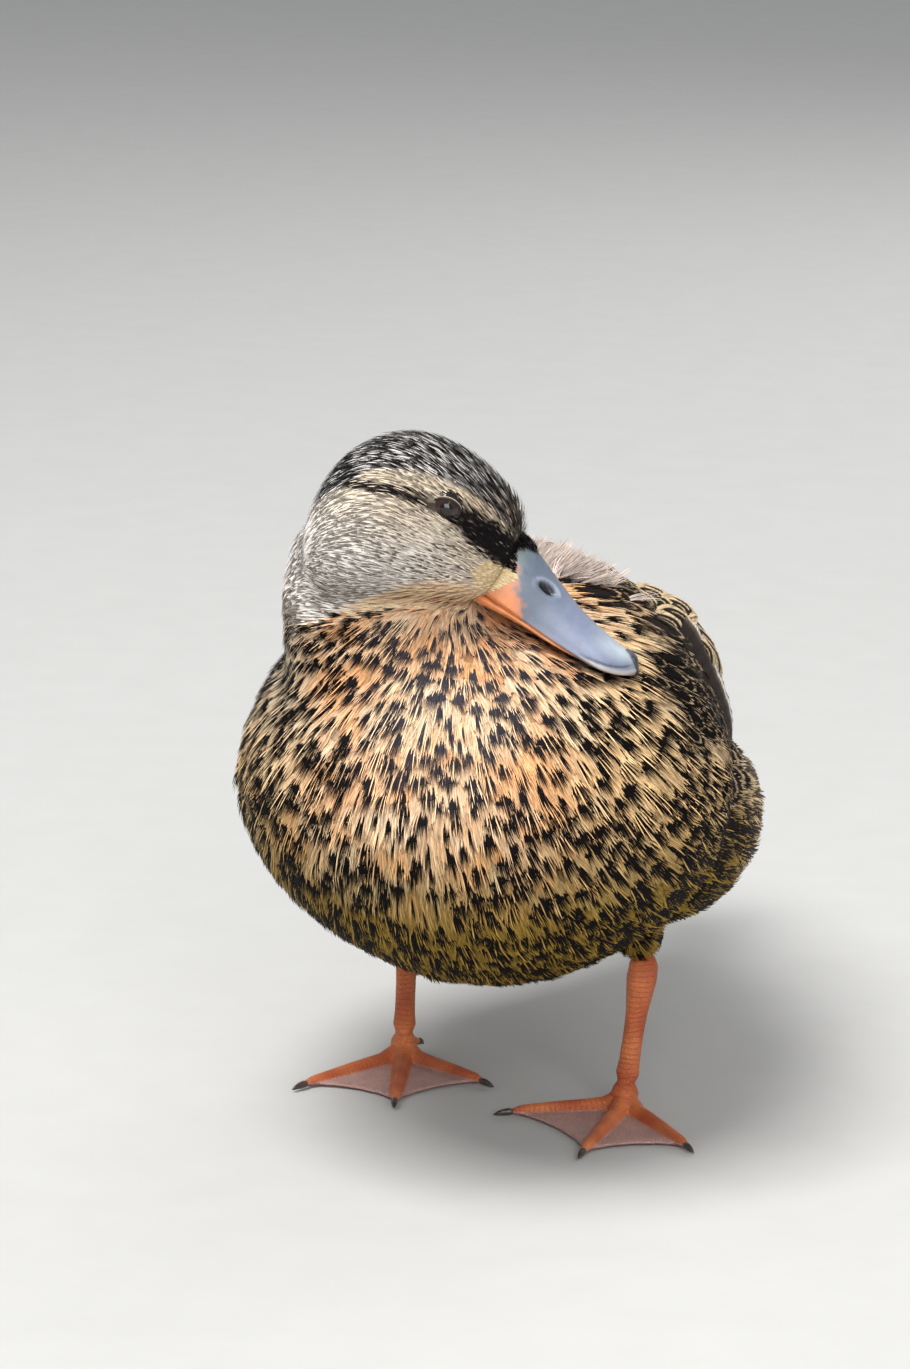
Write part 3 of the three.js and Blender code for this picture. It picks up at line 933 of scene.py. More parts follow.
# ---- skin
@dataclass
class Skin:
    """One skin for head, neck, trunk, thighs and wings, inside them by the coat's depth."""

    voxel: float = 0.002
    overlap: float = 0.7
    depth_body: float = 2.6
    depth_head: float = 0.7
    depth_limb: float = 1.2
    wing_end: float = 108.0
    flesh: tuple[str, ...] = ("trunk", "neck", "head", "thigh_left", "thigh_right",
                              "wing_left", "wing_right")
    item: Optional[Piece] = None
    tree: Optional[BVHTree] = None
    normals: Array = no_rows(3)
    triangles: Array = no_rows(3)
    points: Array = no_rows(3)
    node_trees: dict[str, BVHTree] = field(default_factory=dict)
    maps: Array = no_rows(2)

    def build(self) -> Piece:
        """Join the flesh, smooth it and draw it in by the coat's depth.

        Returns:
            The skin.
        """
        copies = [self.swollen_copy(node) for node in self.flesh]
        self.node_trees = {node: self.tree_of(frame["nodes"][node]) for node in self.flesh}
        copies += [self.swollen_copy(node) for node in ("eye_left", "eye_right")]
        copies.append(self.bill_root())
        skin = joined(copies, "skin")
        apply_modifier(skin, "REMESH", mode="VOXEL", voxel_size=self.voxel)
        apply_modifier(skin, "SMOOTH", factor=0.6, iterations=10)
        mesh = skin.data
        points = vertices_of(mesh)
        move_vertices(mesh, points - normals_of(mesh) * self.depth_at(points)[:, None])
        apply_modifier(skin, "SMOOTH", factor=0.6, iterations=4)
        self.item = skin
        self.points, self.normals = vertices_of(mesh), normals_of(mesh)
        self.triangles = triangles_of(mesh)
        self.tree = self.tree_of(skin)
        return skin

    def swollen_copy(self, node: str) -> Piece:
        """A copy of a node grown a little, so that it overlaps its neighbours."""
        item = copy_of(node, node + "_flesh")
        if node.startswith("wing"):
            self.clip(item, Vector((0, self.wing_end * MM, 0)), Vector((0, 1, 0)))
        move_vertices(item.data, vertices_of(item.data) + normals_of(item.data) * self.overlap)
        return item

    def bill_root(self) -> Piece:
        """The rear end of the bill, which fills its pocket in the head."""
        item = copy_of("bill_upper", "bill_root")
        self.clip(item, Vector(HEAD.to_model(vec(1.0, 0, 0)) * MM), Vector(HEAD.axes[:, 0]))
        return item

    @staticmethod
    def clip(item: Piece, at: Vector, normal: Vector) -> None:
        """Cut an object by a plane and close it, dropping what is beyond."""
        with editing(item):
            bpy.ops.mesh.bisect(plane_co=at, plane_no=normal, use_fill=True, clear_outer=True)

    def depth_at(self, points: Array) -> Array:
        """How deep the skin lies under the coat's surface at some places, in millimetres."""
        local = HEAD.to_head(points)
        from_head = distance((local - vec(-30.0, 0, 4)) / vec(38.0, 27, 34))
        depth = blend(self.depth_head, self.depth_body, ease(1.0, 1.9, from_head))
        limb = ease(66, 54, points[:, 2])
        return depth * (1 - limb) + self.depth_limb * limb

    @staticmethod
    def tree_of(item: Piece) -> BVHTree:
        """A search tree of an object's mesh, in millimetres."""
        mesh = item.data
        return BVHTree.FromPolygons(vertices_of(mesh).tolist(), triangles_of(mesh).tolist())

    def nearest_node(self, places: Array) -> Array:
        """The flesh node nearest to each place, as its number in the list of flesh."""
        gaps = np.empty((len(self.flesh), len(places)))
        for row, node in enumerate(self.flesh):
            search = self.node_trees[node]
            gaps[row] = [search.find_nearest(place)[3] for place in places.tolist()]
        return gaps.argmin(axis=0)

    def unwrap(self) -> None:
        """Lay the skin's own surface out flat and keep each vertex's place on it."""
        self.item.data.uv_layers.new(name=BAKE_MAP)
        with editing(self.item):
            bpy.ops.uv.smart_project(angle_limit=radians(66), island_margin=0.002)
        self.maps = map_of(self.item.data, BAKE_MAP)

    def flat_at(self, spots: Array) -> Array:
        """The places on the unwrap that are nearest to some places in the model."""
        near = [self.tree.find_nearest(spot)[2] for spot in spots.tolist()]
        return self.maps[self.triangles[near][:, 0]]

    def dress(self) -> None:
        """Colour the skin like the coat over it."""
        body, _ = BodyMarks().tones(self.points)
        local = HEAD.to_head(self.points)
        pale, dark = HeadMarks().tones(local)
        hidden = painted(pale * 0.62, (HeadMarks.dark, ease(0.3, 0.9, dark)))
        tone = blend(hidden, body * 0.6, FOLD.off_head(self.points))
        set_colour(self.item.data, "tone", tone)
        self.item.data.shade_smooth()
        finish_piece(self.item, HideFinish().make(), self.flesh)


# ---- feathers
@dataclass(frozen=True)
class VaneShape:
    """One drawn feather: places across and along, lift, chance, and faces."""

    across: Array
    along: Array
    lift: Array
    chance: Array
    corners: Array
    sizes: Array


STRIP = -1.0  # chance number of the strip under the locks, which has a neutral tone


@dataclass(frozen=True)
class VaneCut:
    """How one kind of feather is cut: a strip at its foot and tapering barb locks over it."""

    locks: int
    split: float = 0.5
    strip_rows: int = 4
    strip_end: float = 0.72
    spread: float = 0.6
    roundness: float = 0.3
    steps: int = 3
    fullness: float = 1.25
    uneven: float = 0.10

    def pattern(self, rng: Dice) -> VaneShape:
        """Draw one feather of this cut on a flat sheet.

        Args:
            rng: Where its small differences come from.

        Returns:
            Its vertices across (-1 to 1) and along (0 to 1), and its faces.
        """
        rows: list[tuple[float, float, float, float]] = []
        faces: list[tuple[int, ...]] = []
        for row in range(self.strip_rows):
            share = row / (self.strip_rows - 1)
            wide = 0.25 + 0.68 * sin(pi * share * 0.68)
            for across in (-1.0, 0.0, 1.0):
                along = self.strip_end * share * (1.0 - 0.5 * self.roundness * abs(across))
                rows.append((across * wide, along, -0.6, STRIP))
        for row in range(self.strip_rows - 1):
            for first in (row * 3, row * 3 + 1):
                faces.append((first, first + 1, first + 4, first + 3))
        for lock in range(self.locks):
            rest = (lock + 0.5) / self.locks * 2.0 - 1.0
            across = rest * 0.94 + rng.uniform(-0.5, 0.5) / self.locks
            tip = 1.0 - self.roundness * across * across - rng.uniform(0.0, self.uneven)
            foot = max(0.0, tip - self.split * rng.uniform(0.85, 1.15))
            half = self.fullness / self.locks * rng.uniform(0.75, 1.2)
            bend, lift, chance = rng.normal(0, 0.05), rng.uniform(-0.5, 0.5), rng.uniform()
            start = len(rows)
            for step in range(self.steps):
                share = step / self.steps
                along = foot + (tip - foot) * share
                middle = across * (self.spread + (1 - self.spread) * share ** 0.8)
                middle += bend * share ** 2
                wide = half * (0.75 + 0.25 * sin(pi * share)) * (1 - 0.35 * share)
                for side in (-1, 1):
                    rows.append((middle + side * wide, along, lift * share, chance))
            rows.append((across + bend, tip, lift, chance))
            for step in range(self.steps - 1):
                first = start + step * 2
                faces.append((first, first + 1, first + 3, first + 2))
            last = start + (self.steps - 1) * 2
            faces.append((last, last + 1, last + 2))
        return VaneShape(*np.array(rows).T, np.concatenate(faces),
                         np.array([len(face) for face in faces]))


@dataclass(frozen=True)
class QuillCut:
    """A firm flight or tail feather: a smooth vane with a ridge along its shaft."""

    rows: int = 20
    tip: float = 0.22
    foot: float = 0.45

    def pattern(self, rng: Dice) -> VaneShape:
        """Draw one quill on a flat sheet, with slightly uneven edges.

        Args:
            rng: Where its uneven edges come from.

        Returns:
            Its vertices across (-1 to 1) and along (0 to 1), and its faces.
        """
        columns = (-1.0, -0.72, -0.36, -0.05, 0.05, 0.36, 0.72, 1.0)
        lifts = (-0.5, -0.1, 0.1, 0.5, 0.5, 0.1, -0.1, -0.5)
        table = []
        for row in range(self.rows):
            along = row / (self.rows - 1)
            past = max(0.0, (along - 1 + self.tip) / self.tip)
            opening = self.foot + (1 - self.foot) * min(1, along * 2.5)
            wide = sqrt(max(0.0, 1 - past ** 2.2)) * opening
            ragged = 1.0 + rng.normal(0, 0.012)
            for across, lift in zip(columns, lifts):
                table.append((across * max(wide, 0.02) * ragged, along, lift, STRIP))
        count = len(columns)
        first = np.array([row * count + column for row in range(self.rows - 1)
                          for column in range(count - 1)])
        quads = np.stack([first, first + 1, first + count + 1, first + count], axis=1)
        return VaneShape(*np.array(table).T, quads.ravel(), np.full(len(quads), 4))


@dataclass
class Plumes:
    """Feathers that share a cut, one row of each array for each feather."""

    root: Array
    heading: Array
    length: Array
    half: Array
    rise: Array
    tone: Array
    centre: Array
    pattern: Array
    root_map: Array
    dark_share: Array

    def part(self, keep: Array) -> "Plumes":
        """Only some of the feathers."""
        return Plumes(**{name: rows[keep] for name, rows in vars(self).items()})


@dataclass(frozen=True)
class Ground:
    """A surface that feathers grow on: its search tree and its faces' outward directions."""

    tree: BVHTree
    normals: Array

    def nearest(self, spots: Array) -> tuple[Array, Array]:
        """The nearest places on the surface, and which way is outward there."""
        found = [self.tree.find_nearest(spot) for spot in spots.tolist()]
        return np.array([hit[0] for hit in found]), self.normals[[hit[2] for hit in found]]


@dataclass
class Feathering:
    """Lays feathers on a surface: each follows the surface and rises towards its tip."""

    ground: Optional[Ground] = None
    flow: Optional[Rule] = None
    steps: int = 5
    variants: int = 7
    camber: float = 0.10
    lock_lift: float = 0.35
    tone_spread: float = 0.22

    def march(self, plumes: Plumes) -> tuple[Array, Array, Array]:
        """Carry each feather's spine over the surface.

        Args:
            plumes: The feathers.

        Returns:
            Places, headings and outward directions, for each feather and step.
        """
        count = len(plumes.root)
        places = np.empty((count, self.steps + 1, 3))
        headings = np.empty_like(places)
        outs = np.empty_like(places)
        place, heading = plumes.root.copy(), plumes.heading.copy()
        for step in range(self.steps + 1):
            if step:
                place = place + heading * (plumes.length / self.steps)[:, None]
            place, outward = self.ground.nearest(place)
            if step:
                heading = unit(heading * 0.6 + self.flow(place) * 0.4)
            heading = laid_on(heading, outward)
            places[:, step], headings[:, step], outs[:, step] = place, heading, outward
        return places, headings, outs

    def lay(self, name: str, plumes: Plumes, cut: VaneCut | QuillCut, seed: int,
            plain: bool = False,
            spines: Optional[tuple[Array, Array, Array]] = None) -> Piece:
        """Build one piece of the coat.

        Args:
            name: The piece's name.
            plumes: Its feathers.
            cut: How they are cut.
            seed: Where its differences come from.
            plain: Whether each lock is dark or pale by chance, with no pattern on the vane.
            spines: Places, headings and outward directions, where they are already known.

        Returns:
            The piece, undressed.
        """
        rng = np.random.default_rng(seed)
        places, headings, outs = self.march(plumes) if spines is None else spines
        sides = np.cross(outs, headings)
        shapes = [cut.pattern(rng) for _ in range(self.variants)]
        choice = rng.integers(0, self.variants, len(plumes.root))
        parts: dict[str, list[Array]] = {}
        base = 0
        for number, shape in enumerate(shapes):
            pick = np.nonzero(choice == number)[0]
            if not len(pick):
                continue
            some = plumes.part(pick)
            position = shape.along * self.steps
            low = np.clip(position.astype(int), 0, self.steps - 1)
            share = (position - low)[:, None]
            spot, side, out = (rows[pick][:, low] * (1 - share) + rows[pick][:, low + 1] * share
                               for rows in (places, sides, outs))
            half = some.half[:, None]
            height = some.rise[:, None] * (0.06 + 0.94 * shape.along ** 0.9)
            height = height - self.camber * half * shape.across ** 2 * shape.along
            height = height + self.lock_lift * shape.lift * np.minimum(1.0, half / 3.0)
            points = spot + side * (shape.across * half)[..., None]
            points = points + out * height[..., None]
            count, width = points.shape[:2]
            lock = (shape.chance * 7.31 + some.pattern[:, 2:3] * 3.17) % 1.0
            lock = np.where(shape.chance == STRIP, 0.5, lock)
            gain = 1.0 + self.tone_spread * (lock - 0.5) * 2.0
            tone = some.tone[:, None, :] * gain[..., None]
            if plain:
                reach = lock * 0.7 + 0.3 * abs(shape.across)
                darken = ease(0.08, -0.08, reach - some.dark_share[:, None])
                tip = 1.0 - 0.25 * ease(0.75, 1.0, shape.along)
                centre = np.broadcast_to(some.centre[:, None, :], tone.shape)
                tone = blend(tone, centre, darken * tip)
            pattern = np.repeat(some.pattern, width, axis=0)
            pattern[:, 2] = lock.ravel()
            vane = np.clip(np.stack([(shape.across + 1) / 2, shape.along], axis=1), 0, 1)
            patch = some.root_map[:, None, :] + (vane - 0.5) * BAKE_PATCH
            offset = base + np.arange(count)[:, None] * width
            for key, made in (("points", points.reshape(-1, 3)),
                              ("tone", np.clip(tone, 0, 1).reshape(-1, 3)),
                              ("centre", np.repeat(some.centre, width, axis=0)),
                              ("pattern", pattern), ("vane", np.tile(vane, (count, 1))),
                              ("bake", patch.reshape(-1, 2)),
                              ("corners", (shape.corners + offset).ravel()),
                              ("sizes", np.tile(shape.sizes, count))):
                parts.setdefault(key, []).append(made)
            base += count * width
        rows = {key: np.concatenate(made) for key, made in parts.items()}
        item = mesh_piece(name, rows["points"], rows["corners"], rows["sizes"])
        for key in ("tone", "centre"):
            set_colour(item.data, key, rows[key])
        set_vector(item.data, "pattern", rows["pattern"])
        set_map(item.data, VANE_MAP, rows["vane"])
        set_map(item.data, BAKE_MAP, rows["bake"])
        return item


def scatter(points: Array, triangles: Array, spacing: Rule, tries: int,
            rng: Dice, keep: Rule) -> tuple[Array, Array, Array]:
    """Choose roots over a surface, no two closer than the spacing there.

    Args:
        points: The surface's vertices.
        triangles: Its triangles.
        spacing: Gives the least distance between roots at some places.
        tries: How many places are tried.
        rng: Where the places come from.
        keep: Tells which places may hold a root.

    Returns:
        The roots, the triangle of each, and its place in that triangle.
    """
    corner = points[triangles]
    area = distance(np.cross(corner[:, 1] - corner[:, 0], corner[:, 2] - corner[:, 0]))
    middle = corner.mean(axis=1)
    weight = area / spacing(middle) ** 2 * keep(middle)
    face = rng.choice(len(triangles), size=tries, p=weight / weight.sum())
    share = rng.random((tries, 2))
    flip = share.sum(axis=1) > 1
    share[flip] = 1 - share[flip]
    share = np.column_stack([1 - share.sum(axis=1), share])
    place = (corner[face] * share[:, :, None]).sum(axis=1)
    gap = spacing(place)
    allowed = keep(place) > 0.5
    cell_size = float(gap.max())
    cells: dict[Colour, list[int]] = {}
    cell_of = np.floor(place / cell_size).astype(int)
    chosen: list[int] = []
    spots, gaps = place.tolist(), gap.tolist()
    around = [(i, j, k) for i in (-1, 0, 1) for j in (-1, 0, 1) for k in (-1, 0, 1)]
    for index in np.nonzero(allowed)[0].tolist():
        a, b, c = cell_of[index].tolist()
        nearby = (other for i, j, k in around for other in cells.get((a + i, b + j, c + k), ()))
        if all(dist(spots[index], spots[other]) >= gaps[index] for other in nearby):
            chosen.append(index)
            cells.setdefault((a, b, c), []).append(index)
    pick = np.array(chosen)
    return place[pick], face[pick], share[pick]


class Kind(IntEnum):
    """Where a feather of the coat is rooted."""

    ON_SKIN = 0
    ON_BILL = 1
    TUCKED = 2


@dataclass
class Coat:
    """All the feathers that grow on the skin."""

    skin: Skin
    bill: "Bill"
    seed: int = 41
    skin_tries: int = 150000
    bill_tries: int = 14000
    bill_gap: float = 0.7
    bill_tuft: tuple[float, float, float] = (2.8, 0.62, 0.7)
    tucked_tries: int = 60000
    tucked_gap: float = 2.5
    tucked_extra: float = 3.0
    down_count: int = 260
    yaw: float = 7.0
    least_feathers: int = 20
    lowest_root: float = 44.0
    breast_end: float = -70.0
    belly_front: float = -120.0
    belly_top: float = 88.0
    fine_gap: float = 2.35
    source: tuple[float, float, float] = (-3.0, -112.0, 203.0)
    head_gap: float = 1.5
    down_place: tuple[float, float, float] = (15.0, -57.0, 187.0)
    gape: Curve = (-3.0, 0.3, 2.2, 6.0, 9.6, 12.0, 17.7, 18.9)
    feather_edge: Curve = (-1.0, 0.2, 1.8, 4.7, 6.8, 4.6, 2.4, 1.2)

    def body_flow(self, place: Array) -> Array:
        """The lie of the coat on the body: away from the throat and to the rear."""
        away = place - np.array(self.source)
        far = distance(away)
        share = ease(20, 190, far)[:, None]
        return unit(unit(away) * (1 - 0.75 * share) + vec(0.0, 1.0, -0.12) * (0.9 * share))

    def head_flow(self, place: Array) -> Array:
        """The lie of the coat on the head: back from the bill, then down the nape."""
        local = HEAD.to_head(place)
        back = unit(local - vec(22.0, 0, 10.0))
        back = unit(back * 0.7 + vec(-0.6, 0, 0))
        nape = ease(-30, -62, local[:, 0]) * ease(34, 0, local[:, 2])
        back = back + vec(0, 0, -1.1) * nape[:, None]
        return unit(back) @ HEAD.axes.T

    def flow(self, place: Array) -> Array:
        """The lie of the coat anywhere on the duck."""
        share = FOLD.off_head(place)[:, None]
        return unit(self.head_flow(place) * (1 - share) + self.body_flow(place) * share)

    def spacing(self, place: Array) -> Array:
        """Distance between roots, from the head's fine tufts to the back's big feathers.

        Args:
            place: Places in millimetres.

        Returns:
            The distance at each place.
        """
        part = BodyMarks().weights(place)
        local = HEAD.to_head(place)
        drop, reach = FOLD.below(place)
        outer = ease(20, 62, abs(place[:, 0]))
        body = 4.3 + 0.9 * part["low"] + 4.2 * part["back"] + 1.2 * part["side"] + 0.9 * outer
        body = body + 2.6 * part["flank"]
        under = np.interp(drop, (-4.0, -0.5, 1.0, 9.0, 24.0), (1.0, 1.15, 1.8, 2.6, 4.0))
        beyond = np.interp(reach, (1.1, 1.35, 1.7, 2.1), (1.0, 1.6, 2.8, 4.0))
        head = self.head_gap * np.maximum(under, beyond)
        front = ease(-12, 4, local[:, 0]) * ease(1.4, 1.1, reach) * ease(2, -3, drop)
        head = head * (1 - 0.28 * front) * (1 - 0.3 * ease(-1, 1, local[:, 0]) * front)
        limb = ease(64, 56, place[:, 2])
        gap = np.where(reach < 2.1, np.minimum(head, body), body)
        return gap * (1 - limb) + 2.1 * limb

    def feather_line(self, local: Array) -> Array:
        """How far forward feathers reach on the bill at places in the head's frame."""
        side = np.interp(local[:, 2], self.gape, self.feather_edge)
        ridge = np.interp(abs(local[:, 1]), (0.0, 3.0, 4.2, 5.5), (9.6, 8.4, 5.0, 2.0))
        return np.where(local[:, 2] > 15.0, np.maximum(ridge, np.minimum(side, 3.0)), side)

    def bare_of_eyes(self, local: Array) -> Array:
        """1 where feathers may grow and 0 over the eyes."""
        across, above = local[:, 0] - HEAD.eye_x, local[:, 2] - HEAD.eye_z + 0.2
        away = np.hypot(across / 4.7, (above - 0.17 * across) / 2.9)
        return (away > 1.0).astype(float)

    def grow(self) -> None:
        """Scatter the roots, describe each feather, and build the coat piece by piece."""
        rng = np.random.default_rng(self.seed)
        plumage = PlumageFinish().make()
        skin = self.skin
        roots, face, share = scatter(skin.points, skin.triangles, self.spacing,
                                     self.skin_tries, rng, self.may_grow)
        flat = (skin.maps[skin.triangles[face]] * share[:, :, None]).sum(axis=1)
        forward = HEAD.to_head(self.bill.points)
        beyond = self.feather_line(forward) - forward[:, 0]
        on_bill = self.bill.triangles[(beyond[self.bill.triangles] > -1.5).all(axis=1)
                                      & (forward[self.bill.triangles][:, :, 0] > -6.0).all(axis=1)]
        extra, _, _ = scatter(self.bill.points, on_bill,
                              lambda place: np.full(len(place), self.bill_gap),
                              self.bill_tries, rng, self.on_bill_base)
        tucked, _, _ = scatter(skin.points, skin.triangles,
                               lambda place: np.full(len(place), self.tucked_gap),
                               self.tucked_tries, rng, self.under_fold)
        kinds = np.repeat(list(Kind), [len(roots), len(extra), len(tucked)])
        roots = np.vstack([roots, extra, tucked])
        flat = np.vstack([flat, skin.flat_at(extra), skin.flat_at(tucked)])
        surface_points = np.vstack([skin.points, self.bill.points])
        surface_triangles = np.vstack([skin.triangles, self.bill.triangles + len(skin.points)])
        normals = np.vstack([skin.normals, self.bill.normals])
        ground = Ground(BVHTree.FromPolygons(surface_points.tolist(), surface_triangles.tolist()),
                        unit(normals[surface_triangles].sum(axis=1)))
        nodes = skin.nearest_node(roots)
        log.info("%d roots", len(roots))
        self.lay_regions(roots, flat, nodes, ground, plumage, rng, kinds)
        self.scapulars(ground, plumage)
        self.down(ground, plumage)

    def may_grow(self, place: Array) -> Array:
        """1 where the skin may hold a root: not over an eye, in the bill, or under a wing."""
        local = HEAD.to_head(place)
        clear = self.bare_of_eyes(local)
        at_face = (distance(local / vec(14.0, 12, 30)) < 1.0) & (local[:, 2] > -4.0)
        clear = clear * ~(at_face & (local[:, 0] > self.feather_line(local) - 0.3))
        return clear * ~Wings().covered(place, -1.0) * (place[:, 2] > self.lowest_root)

    def under_fold(self, place: Array) -> Array:
        """1 in a band above the fold, on the side towards the breast."""
        drop, reach = FOLD.below(place)
        band = (drop > -3.0) & (drop < 4.5) & (reach < 1.4) & (place[:, 1] < -100.0)
        return (band & (self.may_grow(place) > 0.5)).astype(float)

    def on_bill_base(self, place: Array) -> Array:
        """1 where feathers overlap the base of the bill."""
        local = HEAD.to_head(place)
        return ((local[:, 0] < self.feather_line(local)) & (local[:, 2] > -4.0)).astype(float)

    def lay_regions(self, roots: Array, flat: Array, nodes: Array, ground: Ground,
                    plumage: Material, rng: Dice, kinds: Array) -> None:
        """Describe the feathers and build each region's piece.

        Args:
            roots: Where the feathers stand.
            flat: Each root's place on the skin's flat map.
            nodes: The flesh node nearest to each root, by its number.
            ground: The surface under the feathers.
            plumage: The feathers' material.
            rng: Where their differences come from.
            kinds: The Kind of each feather; tucked ones lie under the fold of the neck.
        """
        tucked, on_bill = kinds == Kind.TUCKED, kinds == Kind.ON_BILL
        gap = np.where(tucked, 2.6, self.spacing(roots))
        off = np.where(tucked, 1.0, FOLD.off_head(roots))
        part = BodyMarks().weights(roots)
        local = HEAD.to_head(roots)
        head_tone, head_dark = HeadMarks().tones(local)
        tone, dark = BodyMarks().tones(roots)
        on_head = (nodes == self.skin.flesh.index("head")) & ~tucked
        share = np.where(on_head, 0.0, off)
        mouth = on_bill & (local[:, 2] < 10.5)
        head_tone[mouth] = tint(*HeadMarks.lore_spot)
        head_dark[mouth] = 0.0
        tone = blend(head_tone, tone, share)
        head_centre = painted(tint(*HeadMarks.soft_dark),
                              (HeadMarks.rear_dark, ease(-20, -45, local[:, 0])),
                              (HeadMarks.dark, ease(0.42, 0.6, head_dark)))
        centre = blend(head_centre, dark, share)
        chance = rng.uniform(size=len(roots))
        jitter = rng.normal(size=(len(roots), 4))
        length = gap * blend(3.8, 3.5, share) * (1 + 0.08 * jitter[:, 0])
        front = ease(-16, 3, local[:, 0]) * (1 - off)
        length = np.maximum(length * (1 - 0.42 * front), 2.0)
        bill_length, bill_half, bill_rise = self.bill_tuft
        length = np.where(on_bill, bill_length, length) + np.where(tucked, self.tucked_extra, 0.0)
        half = gap * blend(0.50, 1.0, ease(1.9, 3.0, gap))
        half = np.where(on_bill, bill_half, half)
        rise = curve_through((1.0, 2.0, 4.0, 6.0, 9.0), (0.5, 1.0, 1.9, 2.6, 3.2),
                             np.clip(gap, 1.0, 9.0))
        drop, _ = FOLD.below(roots)
        lip = np.exp(-((drop + 4.0) / 3.5) ** 2) * (1 - off)
        rise = rise * (1 + 0.2 * abs(jitter[:, 1])) * blend(1.5, 1.0, share) + 1.3 * lip
        rise = np.where(on_bill, bill_rise, rise)
        peak = ease(-10, -2, local[:, 0]) * ease(15, 18, local[:, 2]) * (1 - off)
        peak = peak * ease(8, 4, abs(local[:, 1]))
        rise = rise + 1.7 * peak
        length = length * (1 + 0.35 * lip) + 1.8 * peak
        heading = self.flow(roots)
        heading = np.where(on_head[:, None], self.head_flow(roots), heading)
        heading = np.where(tucked[:, None], self.body_flow(roots), heading)
        outward = ground.nearest(roots)[1]
        heading = laid_on(heading, outward)
        yaw = np.radians(self.yaw) * jitter[:, 2]
        heading = heading * np.cos(yaw)[:, None] + np.cross(outward, heading) * np.sin(yaw)[:, None]
        kind = ease(0.3, 0.7, part["back"] + part["flank"] + 0.9 * part["shoulder"]
                    + 0.4 * part["side"] * ease(95, 120, roots[:, 2]))
        outer = ease(14, 55, abs(roots[:, 0] + 2.0))
        spot = 0.58 + 0.18 * part["low"] + 0.32 * outer + 0.25 * part["nape"]
        cluster = value_noise(roots, 11.0, 13)
        kind = np.where((share < 0.5) & (head_dark < 0.14), -1.0, kind)
        spot = spot * np.clip(1.05 + 0.4 * jitter[:, 3] + 0.8 * cluster, 0.15, 2.0)
        spot = spot * blend(1.0, 0.8, part["middle"])
        width = blend(spot, 0.20 + 0.03 * jitter[:, 3], np.maximum(kind, 0.0))
        pattern = np.column_stack([kind, np.clip(width, 0.10, 1.1), chance])
        plumes = Plumes(roots, heading, length, half, rise, tone, centre, pattern, flat, head_dark)
        fine = gap < self.fine_gap
        regions = self.region_of(roots, fine, on_head)
        for number, region in enumerate(Region):
            for label, small in (("", False), ("_fine", True)):
                keep = (regions == number) & (fine == small)
                if keep.sum() < self.least_feathers:
                    continue
                cut = self.cut_for(region, small)
                at_head = region is Region.HEAD
                lay = Feathering(ground, self.head_flow if at_head else self.flow,
                                 steps=3 if small else 5, lock_lift=0.22 if small else 0.55,
                                 tone_spread=0.2 if small else 0.24)
                item = lay.lay(region.value + label, plumes.part(keep), cut, self.seed + number,
                               plain=small)
                finish_piece(item, plumage)

    def scapulars(self, ground: Ground, plumage: Material) -> None:
        """The long feathers that drape from the back over the upper edge of each wing.

        Args:
            ground: The surface under them.
            plumage: The feathers' material.
        """
        rng = np.random.default_rng(self.seed + 20)
        rows = [(side * out, along, height) for out, height in ((49, 146), (41, 155), (32, 160))
                for along in np.linspace(-64, 26, 9) for side in (1, -1)]
        spots = np.array(rows, float) + rng.normal(0, 1.8, (len(rows), 3))
        roots, outward = ground.nearest(spots)
        heading = np.column_stack([-0.10 * np.sign(roots[:, 0]), np.ones(len(roots)),
                                   np.full(len(roots), -0.30)])
        heading = laid_on(heading, outward)
        tone, dark = BodyMarks().tones(roots)
        count = len(roots)
        pattern = np.column_stack([np.ones(count), 0.21 + 0.03 * rng.normal(size=count),
                                   rng.uniform(size=count)])
        length, half = rng.uniform(30, 42, count), rng.uniform(6.8, 8.8, count)
        rise = np.interp(roots[:, 1], (-64, 0), (2.2, 8.2)) + rng.uniform(-0.6, 0.8, count)
        plumes = Plumes(roots, heading, length, half, rise, tone, dark, pattern,
                        self.skin.flat_at(roots), np.zeros(count))
        rearward = unit(vec(0, 1.0, -0.16))
        lay = Feathering(ground, lambda place: np.tile(rearward, (len(place), 1)), steps=8)
        item = lay.lay("scapulars", plumes, QuillCut(rows=30, tip=0.42), self.seed + 21)
        finish_piece(item, plumage)

    def down(self, ground: Ground, plumage: Material) -> None:
        """Loose pale down where the feathers part at the back of the neck.

        Args:
            ground: The surface under it.
            plumage: The feathers' material.
        """
        rng = np.random.default_rng(self.seed + 30)
        count = self.down_count
        away = rng.normal(0, 1, (count, 3)) * vec(9.5, 6.0, 3.0)
        roots, outward = ground.nearest(np.array(self.down_place) + away)
        heading = self.flow(roots) + rng.normal(0, 0.4, (count, 3))
        heading = laid_on(heading, outward)
        tone = np.tile(tint(206, 188, 176), (count, 1)) * rng.uniform(0.6, 1.05, (count, 1))
        pattern = np.column_stack([np.full(count, -1.0), np.full(count, 0.3),
                                   rng.uniform(size=count)])
        plumes = Plumes(roots, heading, rng.uniform(9, 14, count), rng.uniform(2.2, 3.4, count),
                        rng.uniform(5.0, 10.0, count), tone, tone * 0.75, pattern,
                        self.skin.flat_at(roots), np.zeros(count))
        lay = Feathering(ground, self.flow, steps=4, lock_lift=1.4)
        cut = VaneCut(9, 0.95, 0, steps=4, spread=0.3, fullness=0.6, uneven=0.3)
        finish_piece(lay.lay("down", plumes, cut, self.seed + 31), plumage)

    @staticmethod
    def cut_for(region: Region, small: bool) -> VaneCut:
        """How the feathers of a region are cut."""
        if small:
            return VaneCut(4, 0.66, 0, steps=2, fullness=1.1, uneven=0.25)
        if region is Region.BACK:
            return VaneCut(20, 0.34, 5, strip_end=0.86, fullness=1.3, uneven=0.05, roundness=0.5)
        return VaneCut(21, 0.62, 4, strip_end=0.62, spread=0.5, fullness=1.0, uneven=0.22)

